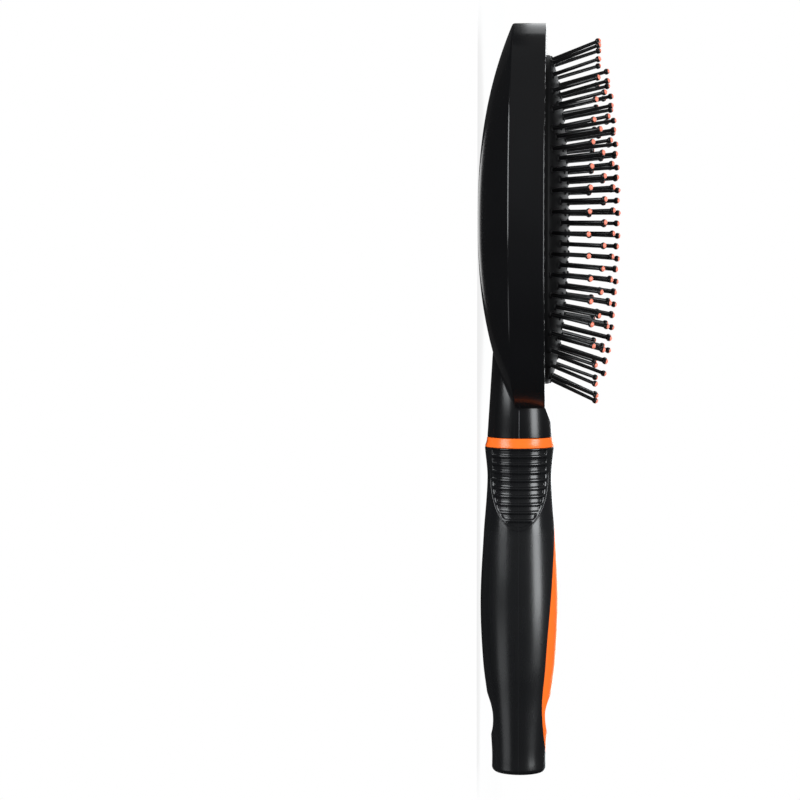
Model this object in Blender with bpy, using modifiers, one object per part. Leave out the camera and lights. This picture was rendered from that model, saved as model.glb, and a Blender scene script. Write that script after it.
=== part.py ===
"""Oval cushion styling brush, modelled as separate pieces at real size.

The brush lies on its domed back. +X points at the far end of the head, +Z points out of the
cushion along the pins, and Y is the mirror direction. The origin is on the resting plane, under
the middle of the brush's length.
"""

import math

import bmesh
import bpy
from mathutils import Matrix, Vector

MM = 0.001

# Whole brush
HANDLE_AXIS_HEIGHT = 13.5 * MM
FIT_GAP = 0.3 * MM
CUT_OVERRUN = 4.0 * MM
WELD_DISTANCE = 0.001 * MM

# Head: an oval with a shallow domed back and a straight band, cut flat where the neck starts
HEAD_LENGTH = 124.3 * MM
HEAD_WIDTH = 69.7 * MM
HEAD_DEPTH = 21.7 * MM
DOME_DEPTH = 10.5 * MM
DOME_WALL = 3.0 * MM
BACK_EDGE_ROUND = 2.0 * MM
RIM_EDGE_ROUND = 1.0 * MM
RIM_END_WIDTH = 10.25 * MM
RIM_SIDE_WIDTH = 8.05 * MM
FLAT_FROM_HEAD_END = 2.7 * MM

# Groove under the lip that holds the cushion's bead
LIP_THICKNESS = 1.5 * MM
GROOVE_HEIGHT = 2.8 * MM
GROOVE_DEPTH = 2.3 * MM
LEDGE_WIDTH = 2.2 * MM

# Neck and the tang behind it
NECK_LENGTH = 6.6 * MM
NECK_END_RADIUS = 10.35 * MM
NECK_ROOT_RADIUS = 8.3 * MM
NECK_REACH_IN_HEAD = 26.5 * MM
RAMP_FOOT_FROM_HEAD_END = 2.5 * MM
RAMP_LENGTH = 5.1 * MM
TANG_LENGTH = 44.0 * MM
TANG_ROOT_RADIUS = 6.0 * MM
TANG_TIP_RADIUS = 5.4 * MM
TANG_CHAMFER = 1.2 * MM

# Collar between neck and grip
RING_LENGTH = 3.1 * MM
RING_NECK_RADIUS = 10.48 * MM
RING_GRIP_RADIUS = 11.1 * MM
RING_EDGE_ROUND = 0.35 * MM

# Grip: a round turned handle, stations as shares of its length from its mouth
GRIP_LENGTH = 104.4 * MM
GRIP_MOUTH_RADIUS = 11.15 * MM
GRIP_WAIST_RADIUS = 10.32 * MM
GRIP_SHOULDER_RADIUS = 11.52 * MM
GRIP_BELLY_RADIUS = 12.48 * MM
GRIP_TAPER_RADIUS = 11.6 * MM
GRIP_TAIL_RADIUS = 9.8 * MM
GRIP_BUTT_RADIUS = 8.7 * MM
GRIP_WAIST_SHARE = 0.094
GRIP_SHOULDER_SHARE = 0.269
GRIP_BELLY_SHARE = 0.474
GRIP_TAPER_SHARE = 0.661
GRIP_TAIL_SHARE = 0.797
GRIP_BUTT_SHARE = 0.934
GRIP_WALL = 2.12 * MM
BUTT_EDGE_ROUND = 1.7 * MM

# Ribbed finger panels on both sides of the grip
RIB_PITCH = 2.53 * MM
RIB_GROOVE_DEPTH = 0.7 * MM
RIB_GROOVE_WIDTH = 1.9 * MM
RIB_FLOOR_WIDTH = 1.0 * MM
FIRST_GROOVE_REACH = 3.58 * MM
PANEL_HALF_WIDTH = 9.3 * MM
PANEL_FOOT_HALF_WIDTH = 9.05 * MM
PANEL_STRAIGHT_LENGTH = 9.0 * MM
PANEL_LENGTH = 25.6 * MM

# Orange core with its leaf-shaped front face
CORE_END_FROM_HOLE = 8.0 * MM
LEAF_TIP_SHARE = 0.197
LEAF_WIDEST_SHARE = 0.588
LEAF_END_FROM_BUTT = 5.9 * MM
LEAF_HALF_WIDTH = 8.0 * MM
LEAF_FLOOR_HEIGHT = 5.0 * MM
LEAF_TIP_FULLNESS_SHARE = 0.95
LEAF_TAIL_FULLNESS_SHARE = 0.55

# Egg-shaped hang hole
HOLE_FROM_BUTT = 19.4 * MM
HOLE_HALF_WIDTH = 4.4 * MM
HOLE_HEADWARD_LENGTH = 6.0 * MM
HOLE_BUTTWARD_LENGTH = 7.1 * MM

# Rubber cushion
PAD_EDGE_RISE = 0.7 * MM
PAD_CROWN = 6.4 * MM
PAD_FULLNESS_SHARE = 0.6
PAD_THICKNESS = 2.0 * MM
BEAD_CORNER = 0.5 * MM

# Ball-tipped pins
PIN_HEIGHT = 16.5 * MM
PIN_RADIUS = 0.58 * MM
PIN_BALL_RADIUS = 0.97 * MM
PIN_ROOT_DEPTH = 1.2 * MM
PIN_SIDES = 5
EDGE_PIN_INSET = 1.2 * MM
EDGE_PIN_PITCH = 6.5 * MM
ROW_PITCH = 6.6 * MM
COLUMN_PITCH = 6.45 * MM
ROW_SHIFT_TO_NECK = 1.0 * MM
LEAN_HEAD_END = math.radians(21.0)
LEAN_NECK_END = math.radians(25.0)
LEAN_SIDE = math.radians(44.0)
LEAN_LINEAR_SHARE = 0.73
SIDE_LEAN_LINEAR_SHARE = 0.8

# Facets
OVAL_STEPS = 56
HANDLE_STEPS = 40
CORE_STEPS = 24
DOME_RINGS = 7
PAD_RINGS = 4
ROUND_RINGS = 3
HOLE_STEPS = 24
OUTLINE_STEPS = 16
GRIP_RINGS = 21

# Sizes and places worked out from the ones above
BRUSH_LENGTH = GRIP_LENGTH + FIT_GAP + RING_LENGTH + FIT_GAP + NECK_LENGTH + HEAD_LENGTH
BUTT_X = -BRUSH_LENGTH / 2
MOUTH_X = BUTT_X + GRIP_LENGTH
NECK_END_X = MOUTH_X + FIT_GAP + RING_LENGTH + FIT_GAP
HEAD_CENTRE_X = NECK_END_X + NECK_LENGTH + HEAD_LENGTH / 2
NECK_ROOT_X = NECK_END_X + NECK_LENGTH + NECK_REACH_IN_HEAD
PAD_LENGTH = HEAD_LENGTH - 2 * RIM_END_WIDTH
PAD_WIDTH = HEAD_WIDTH - 2 * RIM_SIDE_WIDTH
HOLE_X = BUTT_X + HOLE_FROM_BUTT
CORE_RADIUS = GRIP_WAIST_RADIUS - GRIP_WALL
CORE_END_X = HOLE_X + HOLE_HEADWARD_LENGTH + CORE_END_FROM_HOLE

GRIP_STATIONS = (
    (0.0, GRIP_MOUTH_RADIUS),
    (GRIP_WAIST_SHARE * GRIP_LENGTH, GRIP_WAIST_RADIUS),
    (GRIP_SHOULDER_SHARE * GRIP_LENGTH, GRIP_SHOULDER_RADIUS),
    (GRIP_BELLY_SHARE * GRIP_LENGTH, GRIP_BELLY_RADIUS),
    (GRIP_TAPER_SHARE * GRIP_LENGTH, GRIP_TAPER_RADIUS),
    (GRIP_TAIL_SHARE * GRIP_LENGTH, GRIP_TAIL_RADIUS),
    (GRIP_BUTT_SHARE * GRIP_LENGTH, GRIP_BUTT_RADIUS),
    (GRIP_LENGTH, GRIP_BUTT_RADIUS),
)


def clear_scene():
    """Remove the objects of the opened scene."""
    for obj in list(bpy.data.objects):
        bpy.data.objects.remove(obj)


def new_collection(name):
    """Add a collection to the scene."""
    collection = bpy.data.collections.new(name)
    bpy.context.scene.collection.children.link(collection)
    return collection


def plastic(name, colour, roughness):
    """Make a Principled BSDF material for a moulded piece."""
    material = bpy.data.materials.new(name)
    material.use_nodes = True
    shader = material.node_tree.nodes["Principled BSDF"]
    shader.inputs["Base Color"].default_value = (*colour, 1.0)
    shader.inputs["Roughness"].default_value = roughness
    shader.inputs["Metallic"].default_value = 0.0
    material.diffuse_color = (*colour, 1.0)
    return material


def add_part(name, mesh, material, parent=None):
    """Add one piece of the brush."""
    obj = bpy.data.objects.new(name, mesh)
    mesh.materials.clear()
    mesh.materials.append(material)
    mesh.shade_smooth()
    mesh.set_sharp_from_angle(angle=math.radians(35.0))
    parts.objects.link(obj)
    obj.parent = parent
    return obj


def add_cutter(name, mesh, parent=None):
    """Add a body that only cuts or joins others."""
    obj = bpy.data.objects.new(name, mesh)
    cutters.objects.link(obj)
    obj.parent = parent
    obj.hide_render = True
    obj.display_type = "WIRE"
    return obj


def combine(target, tool, operation):
    """Put a Boolean on a piece: DIFFERENCE, UNION or INTERSECT with another body."""
    modifier = target.modifiers.new(f"{operation.title()} {tool.name}", "BOOLEAN")
    modifier.operation = operation
    modifier.solver = "EXACT"
    modifier.object = tool


def evaluated_mesh(obj):
    """Bake an object with its modifiers into a welded mesh and remove the object."""
    depsgraph = bpy.context.evaluated_depsgraph_get()
    mesh = bpy.data.meshes.new_from_object(obj.evaluated_get(depsgraph))
    mesh.transform(obj.matrix_world)
    bpy.data.objects.remove(obj)
    shell = bmesh.new()
    shell.from_mesh(mesh)
    bmesh.ops.remove_doubles(shell, verts=shell.verts, dist=WELD_DISTANCE)
    shell.to_mesh(mesh)
    shell.free()
    return mesh


def turned_mesh(name, profile, steps, closed=False):
    """Turn a profile of (radius, height) points, running down its outer side, about Z."""
    edges = [(index, index + 1) for index in range(len(profile) - 1)]
    if closed:
        edges.append((len(profile) - 1, 0))
    outline = bpy.data.meshes.new(name)
    outline.from_pydata([(radius, 0.0, height) for radius, height in profile], edges, [])
    blank = bpy.data.objects.new(name, outline)
    cutters.objects.link(blank)
    screw = blank.modifiers.new("Turn", "SCREW")
    screw.axis = "Z"
    screw.steps = steps
    screw.render_steps = steps
    screw.use_merge_vertices = True
    screw.merge_threshold = WELD_DISTANCE
    bpy.context.view_layer.update()
    return evaluated_mesh(blank)


def oval_mesh(name, profile, semi_long, semi_wide, centre_x, closed=False):
    """Turn a profile whose outer radius is the long half axis and squeeze it to an oval."""
    mesh = turned_mesh(name, profile, OVAL_STEPS, closed)
    mesh.transform(Matrix.Diagonal((1.0, semi_wide / semi_long, 1.0, 1.0)))
    mesh.transform(Matrix.Translation((centre_x, 0.0, 0.0)))
    return mesh


def prism_mesh(name, outline, low, high):
    """Extrude a closed outline in the XY plane from one height to another."""
    curve = bpy.data.curves.new(name, "CURVE")
    curve.dimensions = "2D"
    curve.fill_mode = "BOTH"
    curve.extrude = (high - low) / 2
    spline = curve.splines.new("POLY")
    spline.points.add(len(outline) - 1)
    for point, (x, y) in zip(spline.points, outline):
        point.co = (x, y, 0.0, 1.0)
    spline.use_cyclic_u = True
    blank = bpy.data.objects.new(name, curve)
    cutters.objects.link(blank)
    bpy.context.view_layer.update()
    mesh = evaluated_mesh(blank)
    mesh.transform(Matrix.Translation((0.0, 0.0, (high + low) / 2)))
    return mesh


def side_prism_mesh(name, outline, half_depth):
    """Extrude a closed outline of (x, z) points to both sides along Y."""
    mesh = prism_mesh(name, outline, -half_depth, half_depth)
    mesh.transform(Matrix.Rotation(math.pi / 2, 4, "X"))
    return mesh


def box_mesh(name, size):
    """Make a box centred on its own origin."""
    body = bmesh.new()
    bmesh.ops.create_cube(body, size=1.0)
    bmesh.ops.scale(body, vec=size, verts=body.verts)
    mesh = bpy.data.meshes.new(name)
    body.to_mesh(mesh)
    body.free()
    return mesh


def arc_points(centre, radius, start, end, steps):
    """Give points on an arc of a profile, angles from +X towards +Z."""
    points = []
    for step in range(steps + 1):
        angle = start + (end - start) * step / steps
        x = centre[0] + radius * math.cos(angle)
        z = centre[1] + radius * math.sin(angle)
        points.append((x, z))
    return points


def dome_radius():
    """Give the radius of the domed back, from its half length and its depth."""
    half_length = HEAD_LENGTH / 2
    return (half_length ** 2 + DOME_DEPTH ** 2) / (2 * DOME_DEPTH)


def dome_height(radius):
    """Give the height of the domed back at a distance from its middle."""
    return dome_radius() - math.sqrt(dome_radius() ** 2 - radius ** 2)


def head_profile():
    """Outline of the head from the middle of the rim face, round the band, to the back."""
    half_length = HEAD_LENGTH / 2
    round_centre = half_length - BACK_EDGE_ROUND
    sphere = dome_radius()
    centre_height = sphere - math.sqrt((sphere - BACK_EDGE_ROUND) ** 2 - round_centre ** 2)
    tangent = math.atan2(centre_height - sphere, round_centre)
    rim_corner = (half_length - RIM_EDGE_ROUND, HEAD_DEPTH - RIM_EDGE_ROUND)
    profile = [(0.0, HEAD_DEPTH)]
    profile += arc_points(rim_corner, RIM_EDGE_ROUND, math.pi / 2, 0.0, ROUND_RINGS)
    profile += arc_points((round_centre, centre_height), BACK_EDGE_ROUND, 0.0, tangent, ROUND_RINGS)
    dome_edge = profile[-1][0]
    for ring in range(1, DOME_RINGS + 1):
        radius = dome_edge * (1 - ring / DOME_RINGS)
        profile.append((radius, dome_height(radius)))
    return profile


def recess_profile():
    """Outline of the opening, the bead's groove, the ledge and the air chamber."""
    lip = PAD_LENGTH / 2 + FIT_GAP
    chamber = lip - LEDGE_WIDTH
    groove_top = HEAD_DEPTH - LIP_THICKNESS
    groove_floor = groove_top - GROOVE_HEIGHT
    profile = [
        (0.0, HEAD_DEPTH + CUT_OVERRUN),
        (lip, HEAD_DEPTH + CUT_OVERRUN),
        (lip, groove_top),
        (lip + GROOVE_DEPTH, groove_top),
        (lip + GROOVE_DEPTH, groove_floor),
        (chamber, groove_floor),
    ]
    for ring in range(DOME_RINGS + 1):
        radius = chamber * (1 - ring / DOME_RINGS)
        profile.append((radius, dome_height(radius) + DOME_WALL))
    return profile


def neck_radius(x):
    """Give the radius of the tapered neck at a place along the brush."""
    share = (x - NECK_END_X) / (NECK_ROOT_X - NECK_END_X)
    return NECK_END_RADIUS + (NECK_ROOT_RADIUS - NECK_END_RADIUS) * share


def neck_profile():
    """Outline of neck and tang along the handle's axis, from the head to the tang's tip."""
    tang_tip_x = NECK_END_X - TANG_LENGTH
    return [
        (0.0, NECK_ROOT_X),
        (NECK_ROOT_RADIUS, NECK_ROOT_X),
        (NECK_END_RADIUS, NECK_END_X),
        (TANG_ROOT_RADIUS, NECK_END_X),
        (TANG_TIP_RADIUS, tang_tip_x + TANG_CHAMFER),
        (TANG_TIP_RADIUS - TANG_CHAMFER, tang_tip_x),
        (0.0, tang_tip_x),
    ]


def make_head_shell(handle_axis, material):
    """Head, neck and tang as one hollow moulding."""
    half_width = HEAD_WIDTH / 2
    oval = oval_mesh("head_shell", head_profile(), HEAD_LENGTH / 2, half_width, HEAD_CENTRE_X)
    shell = add_part("head_shell", oval, material)

    neck = add_cutter("neck_blank", turned_mesh("neck_blank", neck_profile(), CORE_STEPS * 2), handle_axis)
    foot_x = NECK_END_X + NECK_LENGTH + RAMP_FOOT_FROM_HEAD_END
    crest_x = foot_x - RAMP_LENGTH
    crest_z = HANDLE_AXIS_HEIGHT + neck_radius(crest_x)
    slope = (crest_z - HEAD_DEPTH) / RAMP_LENGTH
    sunk_z = HEAD_DEPTH - FIT_GAP
    sunk_x = foot_x + FIT_GAP / slope
    top_z = crest_z + CUT_OVERRUN
    top_x = crest_x - CUT_OVERRUN / slope
    ramp_outline = [
        (sunk_x, sunk_z),
        (HEAD_CENTRE_X, sunk_z),
        (HEAD_CENTRE_X, top_z),
        (top_x, top_z),
    ]
    ramp = add_cutter("neck_ramp", side_prism_mesh("neck_ramp", ramp_outline, half_width))
    combine(neck, ramp, "DIFFERENCE")
    flat_size = (2 * FLAT_FROM_HEAD_END, HEAD_WIDTH, 2 * top_z)
    flat = add_cutter("neck_end_flat", box_mesh("neck_end_flat", flat_size))
    flat.location.x = NECK_END_X + NECK_LENGTH
    combine(shell, flat, "DIFFERENCE")
    combine(shell, neck, "UNION")

    lip_long = PAD_LENGTH / 2 + FIT_GAP
    lip_wide = PAD_WIDTH / 2 + FIT_GAP
    recess_body = oval_mesh("recess", recess_profile(), lip_long, lip_wide, HEAD_CENTRE_X)
    combine(shell, add_cutter("recess", recess_body), "DIFFERENCE")
    return shell


def make_cushion_bead(material):
    """Bead of the rubber sheet, lying in the groove under the lip."""
    lip = PAD_LENGTH / 2 + FIT_GAP
    outer = lip + GROOVE_DEPTH - FIT_GAP
    top = HEAD_DEPTH - LIP_THICKNESS - FIT_GAP
    bottom = HEAD_DEPTH - LIP_THICKNESS - GROOVE_HEIGHT + FIT_GAP
    profile = [
        (lip, top),
        (outer - BEAD_CORNER, top),
        (outer, top - BEAD_CORNER),
        (outer, bottom + BEAD_CORNER),
        (outer - BEAD_CORNER, bottom),
        (lip, bottom),
    ]
    wide = PAD_WIDTH / 2 + FIT_GAP
    ring = oval_mesh("cushion_bead", profile, lip, wide, HEAD_CENTRE_X, closed=True)
    return add_part("cushion_bead", ring, material)


def pad_rise(share):
    """Give the cushion's height over the rim at a share of the way from middle to edge."""
    inside = max(0.0, 1.0 - share ** 2)
    return PAD_EDGE_RISE + PAD_CROWN * inside ** PAD_FULLNESS_SHARE


def pad_profile():
    """Outline of the crowned rubber sheet: its top, its edge and its underside."""
    half_length = PAD_LENGTH / 2
    top = []
    for ring in range(PAD_RINGS + 1):
        share = math.sin(math.pi / 2 * ring / PAD_RINGS)
        top.append((half_length * share, HEAD_DEPTH + pad_rise(share)))
    underside = [(radius, height - PAD_THICKNESS) for radius, height in reversed(top)]
    return top + underside


def edge_pin_places():
    """Space the outermost pins evenly round an oval inset from the cushion's edge."""
    semi_x = PAD_LENGTH / 2 - EDGE_PIN_INSET
    semi_y = PAD_WIDTH / 2 - EDGE_PIN_INSET
    fine_steps = 3600
    points = []
    lengths = [0.0]
    for step in range(fine_steps + 1):
        angle = 2 * math.pi * step / fine_steps
        points.append(Vector((semi_x * math.cos(angle), semi_y * math.sin(angle))))
        if step:
            lengths.append(lengths[-1] + (points[-1] - points[-2]).length)
    places = []
    reached = 0
    count = 2 * round(lengths[-1] / (2 * EDGE_PIN_PITCH))
    for index in range(count):
        wanted = lengths[-1] * index / count
        while lengths[reached] < wanted:
            reached += 1
        places.append((points[reached].x, points[reached].y))
    return places


def pins_in_columns():
    """Count the pins of the middle column and of each further one that clear the cushion's edge."""
    counts = []
    for column in range(int(PAD_WIDTH / 2 / COLUMN_PITCH)):
        side_share = column * COLUMN_PITCH / (PAD_WIDTH / 2)
        reach = PAD_LENGTH / 2 * math.sqrt(1 - side_share ** 2) - ROW_PITCH
        if column % 2:
            counts.append(2 * int(reach / ROW_PITCH) + 1)
        else:
            counts.append(2 * int(reach / ROW_PITCH + 1 / 2))
    return counts


def inner_pin_places():
    """Space the inner pins in columns, every other column set half a pitch along."""
    places = []
    for column, count in enumerate(pins_in_columns()):
        sides = (0,) if column == 0 else (-1, 1)
        for side in sides:
            for index in range(count):
                x = (index - (count - 1) / 2) * ROW_PITCH
                places.append((x, side * column * COLUMN_PITCH))
    return places


def shifted_place(place):
    """Shift a pin towards the neck, most in the middle and nothing at the ends."""
    x, y = place
    share = x / (PAD_LENGTH / 2)
    return x - ROW_SHIFT_TO_NECK * (1 - share ** 2), y


def pin_frame(place):
    """Give the matrix that stands a pin on the cushion with its lean."""
    x, y = place
    end_share = x / (PAD_LENGTH / 2 - EDGE_PIN_INSET)
    side_share = y / (PAD_WIDTH / 2 - EDGE_PIN_INSET)
    end_lean = LEAN_HEAD_END if x > 0 else LEAN_NECK_END
    along = end_lean * (LEAN_LINEAR_SHARE * end_share + (1 - LEAN_LINEAR_SHARE) * end_share ** 3)
    across = LEAN_SIDE * (
        SIDE_LEAN_LINEAR_SHARE * side_share + (1 - SIDE_LEAN_LINEAR_SHARE) * side_share ** 3
    )
    direction = Vector((math.tan(along), math.tan(across), 1.0)).normalized()
    oval_share = math.hypot(x / (PAD_LENGTH / 2), y / (PAD_WIDTH / 2))
    base = Vector((HEAD_CENTRE_X + x, y, HEAD_DEPTH + pad_rise(oval_share)))
    turn = Vector((0.0, 0.0, 1.0)).rotation_difference(direction)
    return Matrix.Translation(base) @ turn.to_matrix().to_4x4()


def pin_profile():
    """Outline of one pin from its ball down to its root in the rubber."""
    ball_z = PIN_HEIGHT - PIN_BALL_RADIUS
    shaft_angle = -math.acos(PIN_RADIUS / PIN_BALL_RADIUS)
    crown = arc_points((0.0, ball_z), PIN_BALL_RADIUS, math.pi / 2, 0.0, 2)
    shaft_top = ball_z + PIN_BALL_RADIUS * math.sin(shaft_angle)
    return crown + [
        (PIN_RADIUS, shaft_top),
        (PIN_RADIUS, -PIN_ROOT_DEPTH),
        (0.0, -PIN_ROOT_DEPTH),
    ]


def strip_number(x):
    """Give the cushion strip that a pin belongs to, counted from the middle one."""
    middle_half = ROW_PITCH * 3 / 4
    if abs(x) < middle_half:
        return 0
    steps = int((abs(x) - middle_half) / ROW_PITCH) + 1
    steps = min(steps, outermost_strip())
    return steps if x > 0 else -steps


def outermost_strip():
    """Give the number of the last strip, which also takes the pins beyond the last row."""
    last_row = (max(pins_in_columns()) - 1) / 2 * ROW_PITCH
    return int((last_row - ROW_PITCH * 3 / 4) / ROW_PITCH) + 2


def pins_by_strip():
    """Sort the places of all pins into the strips that carry them."""
    groups = {}
    for place in edge_pin_places() + inner_pin_places():
        groups.setdefault(strip_number(place[0]), []).append(shifted_place(place))
    return dict(sorted(groups.items()))


def strip_limits(groups):
    """Cut the cushion midway from the last pin of one strip to the first of the next."""
    numbers = list(groups)
    limits = [-PAD_LENGTH / 2 - FIT_GAP]
    for inner, outer in zip(numbers, numbers[1:]):
        last = max(x for x, _ in groups[inner])
        first = min(x for x, _ in groups[outer])
        limits.append((last + first) / 2)
    limits.append(PAD_LENGTH / 2 + FIT_GAP)
    return limits


def make_cushion(material):
    """Crowned rubber sheet in transverse strips, each with the pins that stand in it."""
    half_length = PAD_LENGTH / 2
    sheet = oval_mesh("rubber_sheet", pad_profile(), half_length, PAD_WIDTH / 2, HEAD_CENTRE_X)
    sheet_body = add_cutter("rubber_sheet", sheet)
    pin_mesh = turned_mesh("pin", pin_profile(), PIN_SIDES)
    groups = pins_by_strip()
    limits = strip_limits(groups)
    for index, places in enumerate(groups.values()):
        low = limits[index] + FIT_GAP / 2
        high = limits[index + 1] - FIT_GAP / 2
        name = f"cushion_strip_{index + 1:02d}"
        size = (high - low, PAD_WIDTH + CUT_OVERRUN, HEAD_DEPTH)
        strip = add_part(name, box_mesh(name, size), material)
        strip.location = (HEAD_CENTRE_X + (high + low) / 2, 0.0, HEAD_DEPTH)
        combine(strip, sheet_body, "INTERSECT")

        row = bmesh.new()
        for place in places:
            pin = pin_mesh.copy()
            pin.transform(pin_frame(place))
            row.from_mesh(pin)
            bpy.data.meshes.remove(pin)
        row_mesh = bpy.data.meshes.new(f"pins_{index + 1:02d}")
        row.to_mesh(row_mesh)
        row.free()
        combine(strip, add_cutter(row_mesh.name, row_mesh), "UNION")


def make_neck_ring(handle_axis, material):
    """Tapered collar that the tang passes through."""
    low = MOUTH_X + FIT_GAP
    high = low + RING_LENGTH
    bore = TANG_ROOT_RADIUS + FIT_GAP
    profile = [
        (bore, high),
        (RING_NECK_RADIUS - RING_EDGE_ROUND, high),
        (RING_NECK_RADIUS, high - RING_EDGE_ROUND),
        (RING_GRIP_RADIUS, low + RING_EDGE_ROUND),
        (RING_GRIP_RADIUS - RING_EDGE_ROUND, low),
        (bore, low),
    ]
    mesh = turned_mesh("neck_ring", profile, HANDLE_STEPS, closed=True)
    return add_part("neck_ring", mesh, material, handle_axis)


def grip_radius(reach):
    """Read the grip's radius from a smooth line through its stations."""
    last = len(GRIP_STATIONS) - 1
    index = 0
    while index < last - 1 and reach > GRIP_STATIONS[index + 1][0]:
        index += 1
    start, start_radius = GRIP_STATIONS[index]
    end, end_radius = GRIP_STATIONS[index + 1]
    span = end - start
    share = (reach - start) / span

    def slope(station):
        """Slope of the line at a station, from its neighbours."""
        before = GRIP_STATIONS[max(station - 1, 0)]
        after = GRIP_STATIONS[min(station + 1, last)]
        return (after[1] - before[1]) / (after[0] - before[0])

    rise = (end_radius - start_radius) * (3 * share ** 2 - 2 * share ** 3)
    start_push = slope(index) * span * (share ** 3 - 2 * share ** 2 + share)
    end_push = slope(index + 1) * span * (share ** 3 - share ** 2)
    return start_radius + rise + start_push + end_push


def grip_profile(shrink=0.0):
    """Outline of the handle from its mouth to its rounded butt."""
    profile = [(0.0, MOUTH_X)]
    straight_end = GRIP_LENGTH - BUTT_EDGE_ROUND
    for ring in range(GRIP_RINGS + 1):
        reach = straight_end * ring / GRIP_RINGS
        profile.append((grip_radius(reach) - shrink, MOUTH_X - reach))
    corner = (GRIP_BUTT_RADIUS - BUTT_EDGE_ROUND - shrink, BUTT_X + BUTT_EDGE_ROUND)
    profile += arc_points(corner, BUTT_EDGE_ROUND, 0.0, -math.pi / 2, ROUND_RINGS)[1:]
    profile.append((0.0, BUTT_X))
    return profile


def leaf_outline(offset):
    """Outline of the leaf face, pointed towards the neck and full towards the hole."""
    tip_x = MOUTH_X - LEAF_TIP_SHARE * GRIP_LENGTH
    widest_x = MOUTH_X - LEAF_WIDEST_SHARE * GRIP_LENGTH
    end_x = BUTT_X + LEAF_END_FROM_BUTT
    side = []
    for step in range(1, OUTLINE_STEPS):
        share = math.cos(math.pi * step / OUTLINE_STEPS)
        length = tip_x - widest_x if share > 0 else widest_x - end_x
        fullness = LEAF_TIP_FULLNESS_SHARE if share > 0 else LEAF_TAIL_FULLNESS_SHARE
        width = LEAF_HALF_WIDTH * (1 - share ** 2) ** fullness
        side.append((widest_x + (length + offset) * share, width + offset))
    tip = (tip_x + offset, 0.0)
    end = (end_x - offset, 0.0)
    return [tip] + side + [end] + [(x, -y) for x, y in reversed(side)]


def leaf_prism(name, offset):
    """Upright prism of the leaf, grown by an offset on its sides and floor."""
    low = HANDLE_AXIS_HEIGHT + LEAF_FLOOR_HEIGHT - offset
    high = HANDLE_AXIS_HEIGHT + GRIP_BELLY_RADIUS + CUT_OVERRUN
    return add_cutter(name, prism_mesh(name, leaf_outline(offset), low, high))


def hole_prism():
    """Egg-shaped tunnel through the tail of the handle."""
    outline = []
    for step in range(HOLE_STEPS):
        angle = 2 * math.pi * step / HOLE_STEPS
        length = HOLE_HEADWARD_LENGTH if math.cos(angle) > 0 else HOLE_BUTTWARD_LENGTH
        outline.append((HOLE_X + length * math.cos(angle), HOLE_HALF_WIDTH * math.sin(angle)))
    low = HANDLE_AXIS_HEIGHT - GRIP_BELLY_RADIUS - CUT_OVERRUN
    high = HANDLE_AXIS_HEIGHT + GRIP_BELLY_RADIUS + CUT_OVERRUN
    return add_cutter("hang_hole", prism_mesh("hang_hole", outline, low, high))


def core_profile(gap):
    """Outline of the core's round rod, grown by a gap."""
    low = CORE_END_X - gap
    high = MOUTH_X + (CUT_OVERRUN if gap else 0.0)
    radius = CORE_RADIUS + gap
    return [(0.0, high), (radius, high), (radius, low), (0.0, low)]


def socket_profile():
    """Outline of the core's socket, the tang with its clearance."""
    tip_x = NECK_END_X - TANG_LENGTH - FIT_GAP
    return [
        (0.0, MOUTH_X + CUT_OVERRUN),
        (TANG_ROOT_RADIUS + FIT_GAP, MOUTH_X + CUT_OVERRUN),
        (TANG_ROOT_RADIUS + FIT_GAP, MOUTH_X),
        (TANG_TIP_RADIUS + FIT_GAP, tip_x),
        (0.0, tip_x),
    ]


def make_handle_core(handle_axis, hole, material):
    """Orange core: a rod with the tang's socket, fused with the leaf-shaped front face."""
    rod = turned_mesh("handle_core", core_profile(0.0), CORE_STEPS)
    core = add_part("handle_core", rod, material, handle_axis)
    leaf = leaf_prism("leaf_blank", 0.0)
    skin_mesh = turned_mesh("handle_skin", grip_profile(), HANDLE_STEPS)
    skin = add_cutter("handle_skin", skin_mesh, handle_axis)
    combine(leaf, skin, "INTERSECT")
    combine(core, leaf, "UNION")
    socket_mesh = turned_mesh("tang_socket", socket_profile(), CORE_STEPS * 2)
    combine(core, add_cutter("tang_socket", socket_mesh, handle_axis), "DIFFERENCE")
    combine(core, hole, "DIFFERENCE")
    return core


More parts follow.
